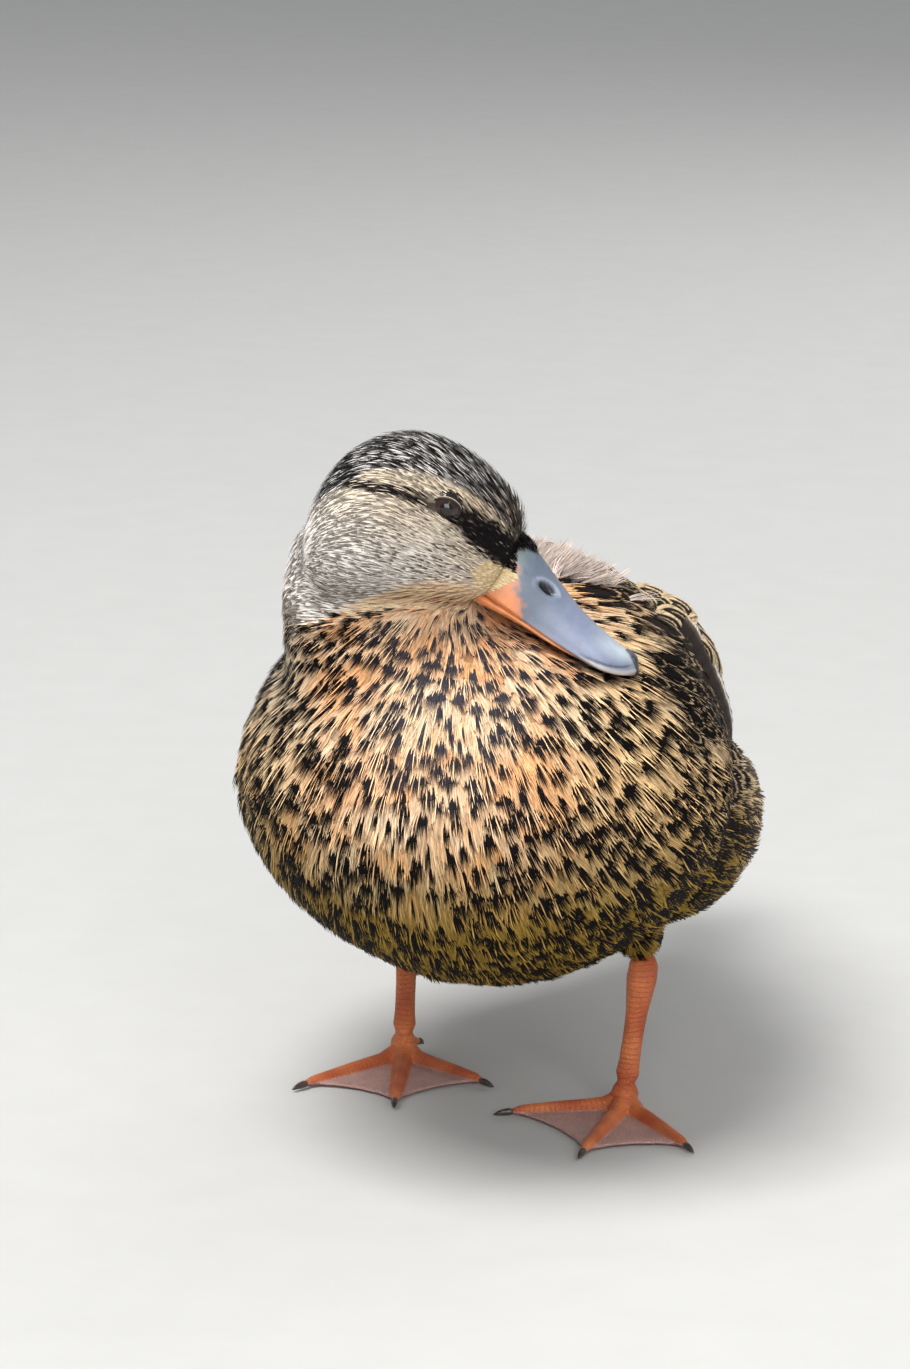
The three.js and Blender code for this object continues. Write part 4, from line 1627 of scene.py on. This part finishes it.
    def region_of(self, roots: Array, fine: Array, on_head: Array) -> Array:
        """The region that each root belongs to.

        Args:
            roots: Where the feathers stand.
            fine: Which of them are fine tufts.
            on_head: Which of them grow on the head.

        Returns:
            The region's number for each root.
        """
        names = list(Region)
        x, y, z = roots.T
        part = BodyMarks().weights(roots)
        region = np.full(len(roots), names.index(Region.BREAST))
        behind = y > self.breast_end
        for inside, name in ((behind & (x > 0), Region.LEFT), (behind & (x <= 0), Region.RIGHT),
                             ((z < self.belly_top) & (y > self.belly_front), Region.BELLY),
                             (part["back"] > 0.5, Region.BACK), (fine & (z > 70), Region.NECK),
                             (on_head & fine, Region.HEAD)):
            region[inside] = names.index(name)
        return region


# ---- wings and tail
@dataclass(frozen=True)
class QuillRow:
    """One row of quills on the folded wing, from the lowest to the highest.

    Places along the wing are in millimetres from front to rear, and across it they run from -1 at
    its lower edge to 1 at its upper edge.
    """

    name: str
    count: int
    foot: tuple[Pair, Pair]
    end: tuple[Pair, Pair]
    half: float
    lift: float
    bands: tuple[tuple[float, Colour], ...]
    edge: Optional[Colour] = None


@dataclass
class Wings:
    """The folded wings: quills in rows over the blade of each wing."""

    skin: Optional[Skin] = None
    along: Curve = (-81.5, -47.5, -7.5, 30.5, 66.5, 102.5, 144.5)
    out: Curve = (64.0, 60.5, 54.0, 48.0, 37.5, 23.0, 10.0)
    height: Curve = (131.0, 138.0, 138.0, 131.0, 125.0, 120.0, 117.0)
    wide: Curve = (5.0, 8.0, 8.5, 8.0, 6.5, 4.0, 2.0)
    up: Curve = (14.0, 25.0, 28.0, 26.0, 20.0, 12.0, 8.0)
    down: Curve = (14.0, 22.0, 25.0, 22.0, 16.0, 9.0, 5.0)
    lean: float = -0.45
    steps: int = 10

    def rows(self) -> tuple[QuillRow, ...]:
        """The rows of the wing, the deepest first."""
        brown, dusk, buff, umber = (88, 72, 60), (62, 52, 46), (206, 176, 136), (46, 37, 32)
        white, cream, jet, black = (236, 232, 222), (232, 226, 214), (16, 16, 22), (20, 18, 20)
        flight = ((0.0, dusk), (0.9, (58, 48, 42)), (1.0, (120, 102, 84)))
        speculum = ((0.0, brown), (0.30, brown), (0.34, (20, 20, 26)), (0.42, (34, 52, 112)),
                    (0.74, (42, 70, 138)), (0.79, jet), (0.87, jet), (0.90, white), (1.0, white))
        greater = ((0.0, (36, 29, 25)), (0.42, umber), (0.62, (112, 94, 78)), (0.68, cream),
                   (0.84, cream), (0.88, black), (1.0, black))
        return (
            QuillRow("primaries", 7, ((52, -0.5), (40, 0.5)), ((112, -0.7), (143, 0.1)), 5.4, 0.2,
                     flight),
            QuillRow("secondaries", 9, ((2, -0.7), (-18, 0.6)), ((54, -0.86), (72, 0.35)), 6.6,
                     0.9, speculum),
            QuillRow("greater_coverts", 10, ((-34, -0.8), (-40, 0.7)), ((16, -0.9), (24, 0.6)),
                     5.4, 1.6, greater),
            QuillRow("tertials", 5, ((-20, 0.15), (-26, 0.8)), ((78, -0.05), (104, 0.7)), 9.0,
                     2.0, ((0.0, umber), (0.3, brown), (1.0, dusk)), buff),
        )

    def covered(self, place: Array, front: float) -> Array:
        """Whether places on the body lie under the quills, behind a place along the wing."""
        out, height, up, down = (np.interp(place[:, 1], self.along, values) for values in
                                 (self.out, self.height, self.up, self.down))
        rise = unit(vec(self.lean, 0.0, 1.0))
        inner = out + rise[0] * up + 1.5
        lowest = height - rise[2] * down + 4.0
        return (place[:, 1] > front) & (abs(place[:, 0] + 1.0) > inner) & (place[:, 2] > lowest)

    def surface(self, along: Array, across: Array, side: float) -> Array:
        """Places on the outer face of a wing.

        Args:
            along: Millimetres from front to rear.
            across: From -1 at the lower edge to 1 at the upper edge.
            side: 1 for the left wing and -1 for the right.

        Returns:
            The places.
        """
        read = [curve_through(self.along, values, along) for values in
                (self.out, self.height, self.wide, self.up, self.down)]
        rise = unit(vec(self.lean, 0.0, 1.0))
        outward = np.array([rise[2], 0.0, -rise[0]])
        reach = np.where(across > 0, read[3], read[4]) * across
        bulge = read[2] * (1.0 - np.minimum(abs(across), 1.0) ** 2.4) ** (1 / 2.4)
        middle = np.stack([read[0], along, read[1]], axis=-1)
        place = middle + reach[..., None] * rise + bulge[..., None] * outward
        place[..., 0] *= side
        place[..., 0] += middle_of("wing_right", "wing_left")
        return place

    def build(self) -> None:
        """Build the quills of both wings."""
        plumage = PlumageFinish().make()
        for name, side in (("left", 1.0), ("right", -1.0)):
            pieces = [self.row(row, side, number) for number, row in enumerate(self.rows())]
            finish_piece(joined(pieces, "wing_quills_" + name), plumage)

    def row(self, row: QuillRow, side: float, number: int) -> Piece:
        """One row of quills on one wing.

        Args:
            row: What the row is like.
            side: 1 for the left wing and -1 for the right.
            number: Which row it is, from the deepest.

        Returns:
            The row, undressed.
        """
        rng = np.random.default_rng(71 + number)
        share = np.linspace(0, 1, row.count)[:, None]
        foot = np.array(row.foot[0]) * (1 - share) + np.array(row.foot[1]) * share
        end = np.array(row.end[0]) * (1 - share) + np.array(row.end[1]) * share
        end = end + rng.normal(0, 1, end.shape) * vec(1.6, 0.03)
        step = np.linspace(0, 1, self.steps + 1)
        path = foot[:, None, :] * (1 - step[:, None]) + end[:, None, :] * step[:, None]
        sag = 0.10 * np.sin(np.pi * step)
        across = np.clip(path[..., 1] - sag, -0.97, 0.97)
        places = self.surface(path[..., 0], across, side)
        beside = self.surface(path[..., 0], np.clip(across + 0.05, -0.99, 0.99), side)
        headings = unit(np.gradient(places, axis=1))
        outs = unit(np.cross(beside - places, headings)) * side
        outs = outs * np.sign((outs * vec(side, 0, 0.3)).sum(axis=-1, keepdims=True))
        lift = row.lift + np.linspace(0, 0.9, row.count)[:, None] * 0.8
        sunk = 3.2 * np.clip(1 - step / 0.45, 0, 1) ** 1.3
        places = places + outs * (lift - sunk)[..., None]
        count = row.count
        bands = [place for place, _ in row.bands]
        colours = np.array([tint(*colour) for _, colour in row.bands])
        zeros = np.zeros(count)
        width = row.half * (1 + rng.normal(0, 0.04, count))
        kind = 1.0 if row.edge else -1.0
        plumes = Plumes(places[:, 0], headings[:, 0], zeros + 1, width, zeros + 0.5,
                        np.tile(tint(*row.edge) if row.edge else colours[0], (count, 1)),
                        np.tile(colours[0], (count, 1)),
                        np.column_stack([zeros + kind, zeros + 0.10, rng.uniform(size=count)]),
                        self.skin.flat_at(places[:, 0]), zeros)
        lay = Feathering(steps=self.steps, variants=count, camber=0.14, lock_lift=0.35)
        item = lay.lay(row.name, plumes, QuillCut(rows=34), 5 + number,
                       spines=(places, headings, outs))
        if not row.edge:
            along = map_of(item.data, VANE_MAP)[:, 1]
            tone = np.stack([np.interp(along, bands, part) for part in colours.T], axis=1)
            set_colour(item.data, "tone", tone)
        return item


@dataclass
class Tail:
    """A fan of tail feathers with coverts over and under it."""

    skin: Skin
    count: int = 18
    root_y: float = 84.0
    tip_y: float = 171.0
    outer_short: float = 30.0
    half: float = 6.2
    spread: float = 22.0
    steps: int = 8

    def build(self) -> None:
        """Build the fan and its coverts."""
        plumage = PlumageFinish().make()
        rng = np.random.default_rng(97)
        fan = self.layer("tail_fan", self.count, self.root_y, self.tip_y, self.outer_short,
                         self.half, self.spread, 0.0, rng, True)
        finish_piece(fan, plumage, ("tail",))
        over = [self.layer(f"over_{row}", 9 - row, 70.0 - 6 * row, 128.0 - 13 * row, 10.0, 6.6,
                           20.0 - 2 * row, 3.4 + 1.6 * row, rng, False) for row in range(3)]
        under = [self.layer(f"under_{row}", 9, 70.0 - 5 * row, 142.0 - 12 * row, 14.0, 6.4, 19.0,
                            -3.6 - 1.9 * row, rng, False) for row in range(3)]
        finish_piece(joined(over + under, "tail_coverts"), plumage)

    def layer(self, name: str, count: int, root_y: float, tip_y: float, shorter: float, half: float,
              spread: float, lift: float, rng: Dice, fan: bool) -> Piece:
        """One layer of feathers side by side, the middle one uppermost.

        Args:
            name: The layer's name.
            count: How many feathers it has.
            root_y: Where they are rooted.
            tip_y: Where the middle one ends.
            shorter: How much shorter the outermost ones are.
            half: Half the width of a feather.
            spread: How far out the tips reach.
            lift: Height over the tail's middle, below 0 for a layer under it.
            rng: Where their differences come from.
            fan: Whether it is the fan itself.

        Returns:
            The layer, undressed.
        """
        place = np.linspace(-1, 1, count)
        order = 1 - abs(place)
        step = np.linspace(0, 1, self.steps + 1)
        tip = tip_y - shorter * abs(place) ** 2.2 + rng.normal(0, 1.0, count)
        y = root_y + (tip - root_y)[:, None] * step
        x = place[:, None] * (9.0 + (spread - 9.0) * step ** 0.8)
        z = np.interp(y, (76.5, 108.5, 140.5, 172.5), (112.0, 110.0, 106.0, 101.0))
        side = 1.0 if lift >= 0 else -1.0
        z = z + lift * (1 - 0.75 * step) + side * (0.35 + 1.3 * order[:, None])
        z = z - 0.0035 * x ** 2
        places = np.stack([x + middle_of("tail", "tail"), y, z], axis=-1)
        headings = unit(np.gradient(places, axis=1))
        outs = np.zeros_like(places)
        outs[..., 0] = 0.007 * x * side
        outs[..., 2] = side
        outs = laid_on(outs, headings)
        zeros = np.zeros(count)
        edge, dark = (222, 200, 166), (92, 72, 56)
        if lift < 0:
            edge, dark = (226, 200, 160), (96, 70, 50)
        tone = np.tile(tint(*edge), (count, 1))
        if fan:
            tone = painted(tone, ((238, 226, 204), abs(place)))
        centre = painted(np.tile(tint(*dark), (count, 1)),
                         ((150, 128, 104), abs(place) ** 2 * (0.9 if fan else 0.3)))
        pattern = np.column_stack([zeros + 1.0, 0.16 + rng.normal(0, 0.02, count),
                                   rng.uniform(size=count)])
        flat = self.skin.flat_at(places[:, 0] + np.outer(place, (12.0, 0, 0)))
        plumes = Plumes(places[:, 0], headings[:, 0], zeros + 1, zeros + half, zeros + 0.4, tone,
                        centre, pattern, flat, zeros)
        lay = Feathering(steps=self.steps, variants=count, camber=0.08, lock_lift=0.25)
        return lay.lay(name, plumes, QuillCut(rows=26, tip=0.34), 17,
                       spines=(places, headings, outs))


# ---- bill
@dataclass
class Bill:
    """The upper and lower bill and the nail, lofted along the mouth."""

    length: float = 56.0
    base_height: float = 20.0
    half_width: float = 11.4
    rings: int = 190
    around: int = 120
    nostril: Pair = (16.4, 11.0)
    nostril_half: Pair = (3.7, 1.55)
    nostril_lean: float = -9.0
    points: Array = no_rows(3)
    normals: Array = no_rows(3)
    triangles: Array = no_rows(3)

    @staticmethod
    def loft(name: str, stations: Sequence[Sequence[float]], rings: int, around: int, nose: float,
             tail: float, upper_power: Sequence[float], lower_power: float = 2.0) -> Piece:
        """A closed round body along the head's x, from stations of place, rise and reach.

        Args:
            name: The piece's name.
            stations: Rows of x, z, half width, reach up and reach down.
            rings: Rings along it.
            around: Points around a ring.
            nose: Share of its length that the start takes to open.
            tail: Share of its length that the end takes to close.
            upper_power: Fullness of the upper half, at the start and at the end.
            lower_power: Fullness of the lower half.

        Returns:
            The piece, in the head's own frame.
        """
        table = np.array(stations, float).T
        share = 0.5 - 0.5 * np.cos(np.linspace(0, pi, rings))
        share = 0.35 * share + 0.65 * np.linspace(0, 1, rings)
        knots = np.linspace(0, 1, len(table[0]))
        x, z, wide, up, down = (curve_through(knots, row, share) for row in table)
        start = np.clip(1 - share / nose, 0, 1)
        end = np.clip(1 - (1 - share) / tail, 0, 1)
        opening = np.sqrt(1 - start ** 2) * np.sqrt(1 - end ** 2)
        angle = np.linspace(0, 2 * pi, around, endpoint=False)
        across, height = np.cos(angle), np.sin(angle)
        fullness = np.linspace(*upper_power, rings)[:, None]
        power = np.where(height > 0, fullness, lower_power)
        total = abs(across) ** power + abs(height) ** power
        size = opening[:, None] / total ** (1 / power)
        reach = np.where(height > 0, up[:, None], down[:, None])
        grid = np.stack([np.broadcast_to(x[:, None], size.shape),
                         across * wide[:, None] * size,
                         z[:, None] + height * reach * size], axis=2)
        inner = grid[1:-1].reshape(-1, 3)
        poles = np.array([grid[0, 0], grid[-1, 0]])
        rows = rings - 2
        quads = bands_between(rows, around)
        step = np.arange(around)
        after = (step + 1) % around
        first, last = rows * around, rows * around + 1
        caps = np.concatenate([np.stack([np.full(around, first), after, step], axis=1),
                               np.stack([np.full(around, last), (rows - 1) * around + step,
                                         (rows - 1) * around + after], axis=1)])
        corners = np.concatenate([quads.ravel(), caps.ravel()])
        sizes = np.concatenate([np.full(len(quads), 4), np.full(len(caps), 3)])
        return mesh_piece(name, np.vstack([inner, poles]), corners, sizes)

    def build(self) -> None:
        """Build and dress the three pieces of the bill."""
        self.upper()
        self.lower()
        self.nail()

    def upper(self) -> None:
        """The upper bill, with nostrils and the groove along its tip."""
        item = self.loft("bill_upper_horn", [
            (-7, 2, 7.2, self.base_height - 1, 3),
            (6, 0.5, 9.8, self.base_height - 1, 2.6),
            (19, -1, self.half_width * 0.83, 15.2, 2.2),
            (32, -1.8, self.half_width * 0.9, 11, 2),
            (45, -1.6, self.half_width, 8.4, 1.8),
            (self.length, 0.6, self.half_width * 0.92, 8, 1.8)], self.rings, self.around, 0.1, 0.3,
                         (1.9, 2.3))
        mesh = item.data
        local = vertices_of(mesh)
        outward = normals_of(mesh)
        x, _, z = local.T
        along, over = turned(x - self.nostril[0], z - self.nostril[1], -self.nostril_lean)
        hole = np.hypot(along / self.nostril_half[0], over / self.nostril_half[1])
        inward = 1.5 * ease(1.05, 0.55, hole) - 0.28 * ease(0.5, 0.0, abs(hole - 1.25))
        margin = self.margin_height(x)
        groove_gap = abs(z - margin - 2.6 - 0.10 * (x - 45.0))
        groove = ease(0.55, 0.1, groove_gap) * ease(34, 39, x) * ease(53.5, 51, x)
        rim = ease(1.3, 0.2, abs(z - margin - 0.9)) * ease(6, 16, x)
        local = local - outward * (inward + 0.3 * groove - 0.16 * rim)[:, None]
        patch, grains = value_noise(local, 5.0, 3), value_noise(local, 1.3, 12)
        base = (ease(15.0, 11.0, x + 1.4 * patch + 1.2 * grains + 0.75 * z)
                * ease(14.0, 10.5, z + patch))
        line = ease(12.5, 20, x) * ease(1.5, 0.3, abs(z - margin - 0.2))
        pale_edge = ease(1.3, 0.2, abs(z - margin - 1.2)) * ease(34, 44, x)
        # nostril rim paler on its upper side: a painted highlight of light from above
        hole_rim_highlight = ease(0.3, 0.05, abs(hole - 1.25)) * 0.7 * ease(-0.4, 0.6, over)
        specks = value_noise(local, 1.5, 8) + value_noise(local, 3.1, 9)
        tip = ease(32, 52, x) * ease(2, 7, z + (self.length - x) * 0.1)
        tone = painted(tint(98, 108, 122), ((122, 130, 152), ease(12, 30, x)),
                       ((184, 194, 200), tip),
                       ((126, 138, 136), ease(9, 1, x) * ease(6, 14, z)),
                       ((222, 138, 86), base * (0.9 + 0.1 * grains)),
                       ((176, 146, 134), line * 0.55), ((196, 190, 180), pale_edge * 0.6),
                       # darker in the groove: painted shade in the recess
                       ((70, 74, 84), groove * 0.85),
                       # near-black in the nostrils: painted shade inside the openings
                       ((18, 18, 22), ease(0.98, 0.7, hole)), ((164, 172, 186), hole_rim_highlight),
                       ((72, 56, 54), ease(1.2, 1.7, specks) * ease(12, 7, x) * 0.3))
        self.place(item, local, tone, "bill", HornFinish(), ("bill_upper",))
        self.points, self.normals = vertices_of(mesh), normals_of(mesh)
        self.triangles = triangles_of(mesh)

    def margin_height(self, x: Array) -> Array:
        """Height of the upper bill's cutting edge along its length."""
        return curve_through((-7.0, 3.0, 11.0, 25.0, 37.0, 42.5, 50.0, 57.0),
                             (0.4, 1.2, -0.9, -2.5, -3.2, -2.9, -1.4, 2.0), x)

    def lower(self) -> None:
        """The lower bill, a narrow tray that shows as an orange strip."""
        item = self.loft("bill_lower_horn", [
            (-3.2, -2.4, 6.0, 1.6, 3.2), (12, -2.2, 8.8, 2, 1.9),
            (32, -3.1, self.half_width * 0.8, 1.8, 0.9),
            (self.length - 4, -1.2, self.half_width * 0.74, 1.3, 0.8)],
                         90, 64, 0.1, 0.3, (2.0, 2.2))
        local = vertices_of(item.data)
        patch = value_noise(local, 4.0, 23)
        specks = ease(0.3, 1.2, abs(value_noise(local, 2.2, 29)))
        tone = painted(tint(204, 120, 64), ((218, 146, 94), np.clip(0.5 + 0.5 * patch, 0, 1)),
                       ((130, 70, 44), specks * 0.4))
        self.place(item, local, tone, "bill_edge", HornFinish("bill_edge_horn", 0.4),
                   ("bill_lower",))

    def nail(self) -> None:
        """The hard dark nail at the tip."""
        item = self.loft("bill_nail_horn", [
            (self.length - 7, 5.4, 3.4, 1.4, 1.6), (self.length - 2.5, 4, 4, 1.6, 2.6),
            (self.length + 0.8, 1, 3, 1.2, 2.4)], 40, 40, 0.5, 0.5, (2.0, 2.0))
        local = vertices_of(item.data)
        tone = np.broadcast_to(tint(60, 62, 70), local.shape)
        self.place(item, local, tone, "bill_nail",
                   PlainHorn("nail_horn", (34, 34, 40), (92, 94, 102)), ("bill_nail",))

    @staticmethod
    def place(item: Piece, local: Array, tone: Array, slot: str, finish: object,
              stands_for: Sequence[str]) -> None:
        """Set a piece on the head, colour it and finish it."""
        move_vertices(item.data, HEAD.to_model(local))
        set_colour(item.data, "tone", np.clip(tone, 0, 1))
        finish_piece(item, finish.make(), stands_for)


# ---- eyes
@dataclass
class Eyes:
    """Two eyeballs and the lids around them."""

    radius: float = 6.1
    off_middle: float = 14.6
    opening: Pair = (4.25, 2.75)
    lid_reach: float = 1.0
    lid_lean: float = 10.0

    def build(self) -> None:
        """Build both eyes and both pairs of lids."""
        ball = EyeFinish().make()
        rim = HornFinish("eyelid", 0.7).make()
        for name, side in (("left", 1.0), ("right", -1.0)):
            self.eyeball(name, side, ball)
            self.lids(name, side, rim)

    def middle(self, side: float) -> Array:
        """The middle of an eyeball in the head's frame."""
        return vec(HEAD.eye_x, side * self.off_middle, HEAD.eye_z)

    def eyeball(self, name: str, side: float, material: Material) -> None:
        """One eyeball, looking out to its side.

        Args:
            name: Which eye.
            side: 1 for the left eye and -1 for the right.
            material: The eyeball's material.
        """
        deselect()
        bpy.ops.mesh.primitive_uv_sphere_add(segments=64, ring_count=40, radius=self.radius * MM)
        item = bpy.context.active_object
        item.name = item.data.name = "eyeball_" + name
        raw = vertices_of(item.data)
        turn = np.arctan2(raw[:, 1], raw[:, 0])
        radial = np.hypot(raw[:, 0], raw[:, 1]) / (self.opening[0] * 1.02)
        radial = np.where(raw[:, 2] > 0, radial, 2.0)
        within = np.hypot(raw[:, 0] / self.opening[0], raw[:, 1] / self.opening[1])
        bulge = 1.0 + 0.05 * ease(0.95, 0.2, np.where(raw[:, 2] > 0, within, 2.0))
        raw = raw * bulge[:, None]
        local = np.column_stack([raw[:, 0], raw[:, 2] * side, raw[:, 1] * side])
        if side > 0:
            local[:, 0] = -local[:, 0]
        local = local + self.middle(side)
        move_vertices(item.data, HEAD.to_model(local))
        set_vector(item.data, "gaze", np.column_stack([radial, turn, np.zeros(len(raw))]))
        item.data.shade_smooth()
        finish_piece(item, material, ("eye_" + name,))

    def lids(self, name: str, side: float, material: Material) -> None:
        """The lids around one eye: a dark wet margin, a raised rim, a slope under the feathers.

        Args:
            name: Which eye.
            side: 1 for the left eye and -1 for the right.
            material: The lids' material.
        """
        turns = 96
        angle = np.linspace(0, 2 * pi, turns, endpoint=False)
        rows = [(0.0, -0.5), (0.0, 0.12), (0.12, 0.36), (0.3, 0.4), (0.55, 0.24), (0.9, 0.06),
                (self.lid_reach + 0.6, -0.5), (self.lid_reach + 1.4, -1.6)]
        shape = abs(np.cos(angle)) ** 1.25 * np.sign(np.cos(angle))
        grid = []
        for out, lift in rows:
            wide, tall = self.opening[0] + out, self.opening[1] + out
            x = wide * (0.55 * np.cos(angle) + 0.45 * shape)
            z = tall * np.sin(angle) * np.where(np.sin(angle) > 0, 1.0, 0.94)
            x, z = turned(x, z, self.lid_lean)
            reach = np.sqrt(np.maximum(self.radius ** 2 - x ** 2 - z ** 2, 2.0))
            ray = unit(np.column_stack([x, reach, z]))
            grid.append(ray * (self.radius + lift))
        points = np.concatenate(grid)
        points = points * vec(1, side, 1) + self.middle(side)
        quads = bands_between(len(rows), turns)
        if side > 0:
            quads = quads[:, ::-1]
        item = mesh_piece("eyelids_" + name, HEAD.to_model(points), quads.ravel(),
                          np.full(len(quads), 4))
        ranks = np.repeat(np.arange(len(rows)), turns)
        pale, dark = HeadMarks().tones(points)
        around = painted(pale, (HeadMarks.dark, ease(0.4, 0.8, dark)))
        tone = blend(tint(10, 8, 8), around * 0.8, ease(4.1, 5.4, ranks))
        set_colour(item.data, "tone", tone)
        finish_piece(item, material)


# ---- legs
@dataclass
class Legs:
    """Shanks and webbed feet in one scaly skin, with smooth claws."""

    voxel: float = 0.00062
    scute: float = 1.7
    feet: tuple[str, ...] = ("left", "right")
    toes: tuple[str, ...] = ("inner", "middle", "outer", "hind")

    def build(self) -> None:
        """Build both legs and their claws."""
        skin = LegFinish().make()
        horn = PlainHorn("claw_horn", (38, 33, 31), (88, 76, 66)).make()
        for side in self.feet:
            self.leg(side, skin)
            for toe in self.toes:
                self.claw(side, toe, horn)

    def leg(self, side: str, material: Material) -> None:
        """One shank with its foot.

        Args:
            side: Which leg.
            material: The skin of the legs.
        """
        pair = [copy_of("leg_" + side, "shank"), copy_of("foot_" + side, "foot")]
        ankle = vertices_of(pair[0].data)
        ankle = ankle[ankle[:, 2] < ankle[:, 2].min() + 3.0].mean(axis=0)
        move_vertices(pair[0].data, vertices_of(pair[0].data) + normals_of(pair[0].data) * 0.3)
        item = joined(pair, "leg_skin_" + side)
        apply_modifier(item, "REMESH", mode="VOXEL", voxel_size=self.voxel)
        apply_modifier(item, "SMOOTH", factor=0.5, iterations=5)
        points = vertices_of(item.data)
        points[:, 2] = np.maximum(points[:, 2], 0.0)
        outward = normals_of(item.data)
        from_ankle = points - ankle
        floor_reach = np.hypot(from_ankle[:, 0], from_ankle[:, 1])
        on_foot = ease(13, 9, points[:, 2])
        along = np.where(points[:, 2] > 10, points[:, 2], floor_reach + 10) / self.scute
        web = on_foot * ease(2.2, 1.6, points[:, 2]) * ease(6, 12, floor_reach)
        top = np.where(points[:, 2] > 11, -outward[:, 1], outward[:, 2]) * (1 - 0.9 * web)
        along = along + 0.35 * value_noise(points, 4.0, 33)
        ridge = abs((along % 1.0) - 0.5) * 2
        points = points - outward * (0.09 * ease(0.75, 1.0, ridge) * ease(0.2, 0.6, top))[:, None]
        points[:, 2] = np.maximum(points[:, 2], 0.0)
        move_vertices(item.data, points)
        patch = value_noise(points, 7.0, 31)
        sole = ease(0.0, -0.6, outward[:, 2]) * on_foot
        tone = painted(tint(172, 82, 44), ((204, 116, 68), np.clip(0.5 + 0.6 * patch, 0, 1)),
                       ((184, 150, 142), web * 0.9), ((150, 62, 40), sole * 0.7))
        set_colour(item.data, "tone", tone)
        set_vector(item.data, "scute", np.column_stack([along, top, web]))
        item.data.shade_smooth()
        finish_piece(item, material, ("leg_" + side, "foot_" + side))

    def claw(self, side: str, toe: str, material: Material) -> None:
        """One claw, rounded from its solid.

        Args:
            side: Which foot.
            toe: Which toe.
            material: The claws' horn.
        """
        node = f"claw_{side}_{toe}"
        item = copy_of(node, node + "_horn")
        apply_modifier(item, "SUBSURF", levels=2, render_levels=2)
        points = vertices_of(item.data)
        middle = points.mean(axis=0)
        inward = vertices_of(frame["nodes"]["foot_" + side].data).mean(axis=0) - middle
        inward = inward * vec(1.0, 1.0, 0.0)
        points = middle + (points - middle) * 1.05 + unit(inward) * 1.4
        points[:, 2] = np.maximum(points[:, 2], 0.05)
        move_vertices(item.data, points)
        item.data.shade_smooth()
        finish_piece(item, material, (node,))


# ---- studio
@dataclass
class Studio:
    """Pale floor, soft light and the camera."""

    target: tuple[float, float, float] = (-27.8, -4.9, 133.2)
    azimuth: float = 13.0
    elevation: float = 13.5
    distance: float = 1850.0
    lens: float = 142.5
    sky: tuple[float, float, float, float] = (0.92, 0.95, 1.0, 1.0)
    sky_strength: float = 0.42
    floor_size: float = 8.0
    floor_gap: float = 0.0002

    def build(self) -> None:
        """Set up the floor, the lights and the camera."""
        self.floor()
        self.lights()
        self.camera()

    def floor(self) -> None:
        """The floor that the duck stands on."""
        deselect()
        bpy.ops.mesh.primitive_plane_add(size=self.floor_size, location=(0, 0, -self.floor_gap))
        item = bpy.context.active_object
        item.name = "floor"
        item.data.transform(Matrix.Translation(item.location))
        item.location = (0, 0, 0)
        item.data.materials.append(FloorFinish().make())

    def lights(self) -> None:
        """A broad soft light from above, a fill from the front, and a pale room."""
        self.lamp("top_light", (-0.6, -0.95, 2.7), 106.0, 1.5)
        self.lamp("front_fill", (0.9, -2.0, 0.95), 32.0, 1.5)
        self.lamp("rear_light", (0.6, 1.8, 1.3), 14.0, 1.4)
        bpy.context.scene.view_settings.view_transform = "Standard"
        world = bpy.data.worlds.new("room")
        world.use_nodes = True
        sky = world.node_tree.nodes["Background"]
        sky.inputs["Color"].default_value = self.sky
        sky.inputs["Strength"].default_value = self.sky_strength
        bpy.context.scene.world = world

    @staticmethod
    def lamp(name: str, place: Sequence[float], power: float, size: float) -> None:
        """One square soft light that faces the duck."""
        data = bpy.data.lights.new(name, "AREA")
        data.energy, data.size = power, size
        item = in_scene(name, data)
        item.location = place
        towards = Vector((0, 0, 0.12)) - Vector(place)
        item.rotation_euler = towards.to_track_quat("-Z", "Y").to_euler()
        item.visible_glossy = name != "rear_light"

    def camera(self) -> None:
        """The camera, looking down a little on the duck's right breast."""
        data = bpy.data.cameras.new("camera")
        data.lens, data.sensor_width, data.sensor_fit = self.lens, 36.0, "AUTO"
        data.clip_start, data.clip_end = 0.05, 50.0
        item = in_scene("camera", data)
        side, rise = radians(self.azimuth), radians(self.elevation)
        away = np.array([sin(side) * cos(rise), -cos(side) * cos(rise),
                         sin(rise)])
        item.location = (np.array(self.target) + away * self.distance) * MM
        item.rotation_euler = (radians(90.0) - rise, 0.0, side)
        bpy.context.scene.camera = item


def main() -> None:
    """Build the duck piece by piece and report each."""
    logging.basicConfig(level=logging.INFO, format="%(message)s")
    deselect()
    Studio().build()
    bill = Bill()
    bill.build()
    Eyes().build()
    Legs().build()
    skin = Skin()
    skin.build()
    skin.unwrap()
    skin.dress()
    Coat(skin, bill).grow()
    Wings(skin).build()
    Tail(skin).build()
    deselect()


if __name__ == "__main__":
    main()
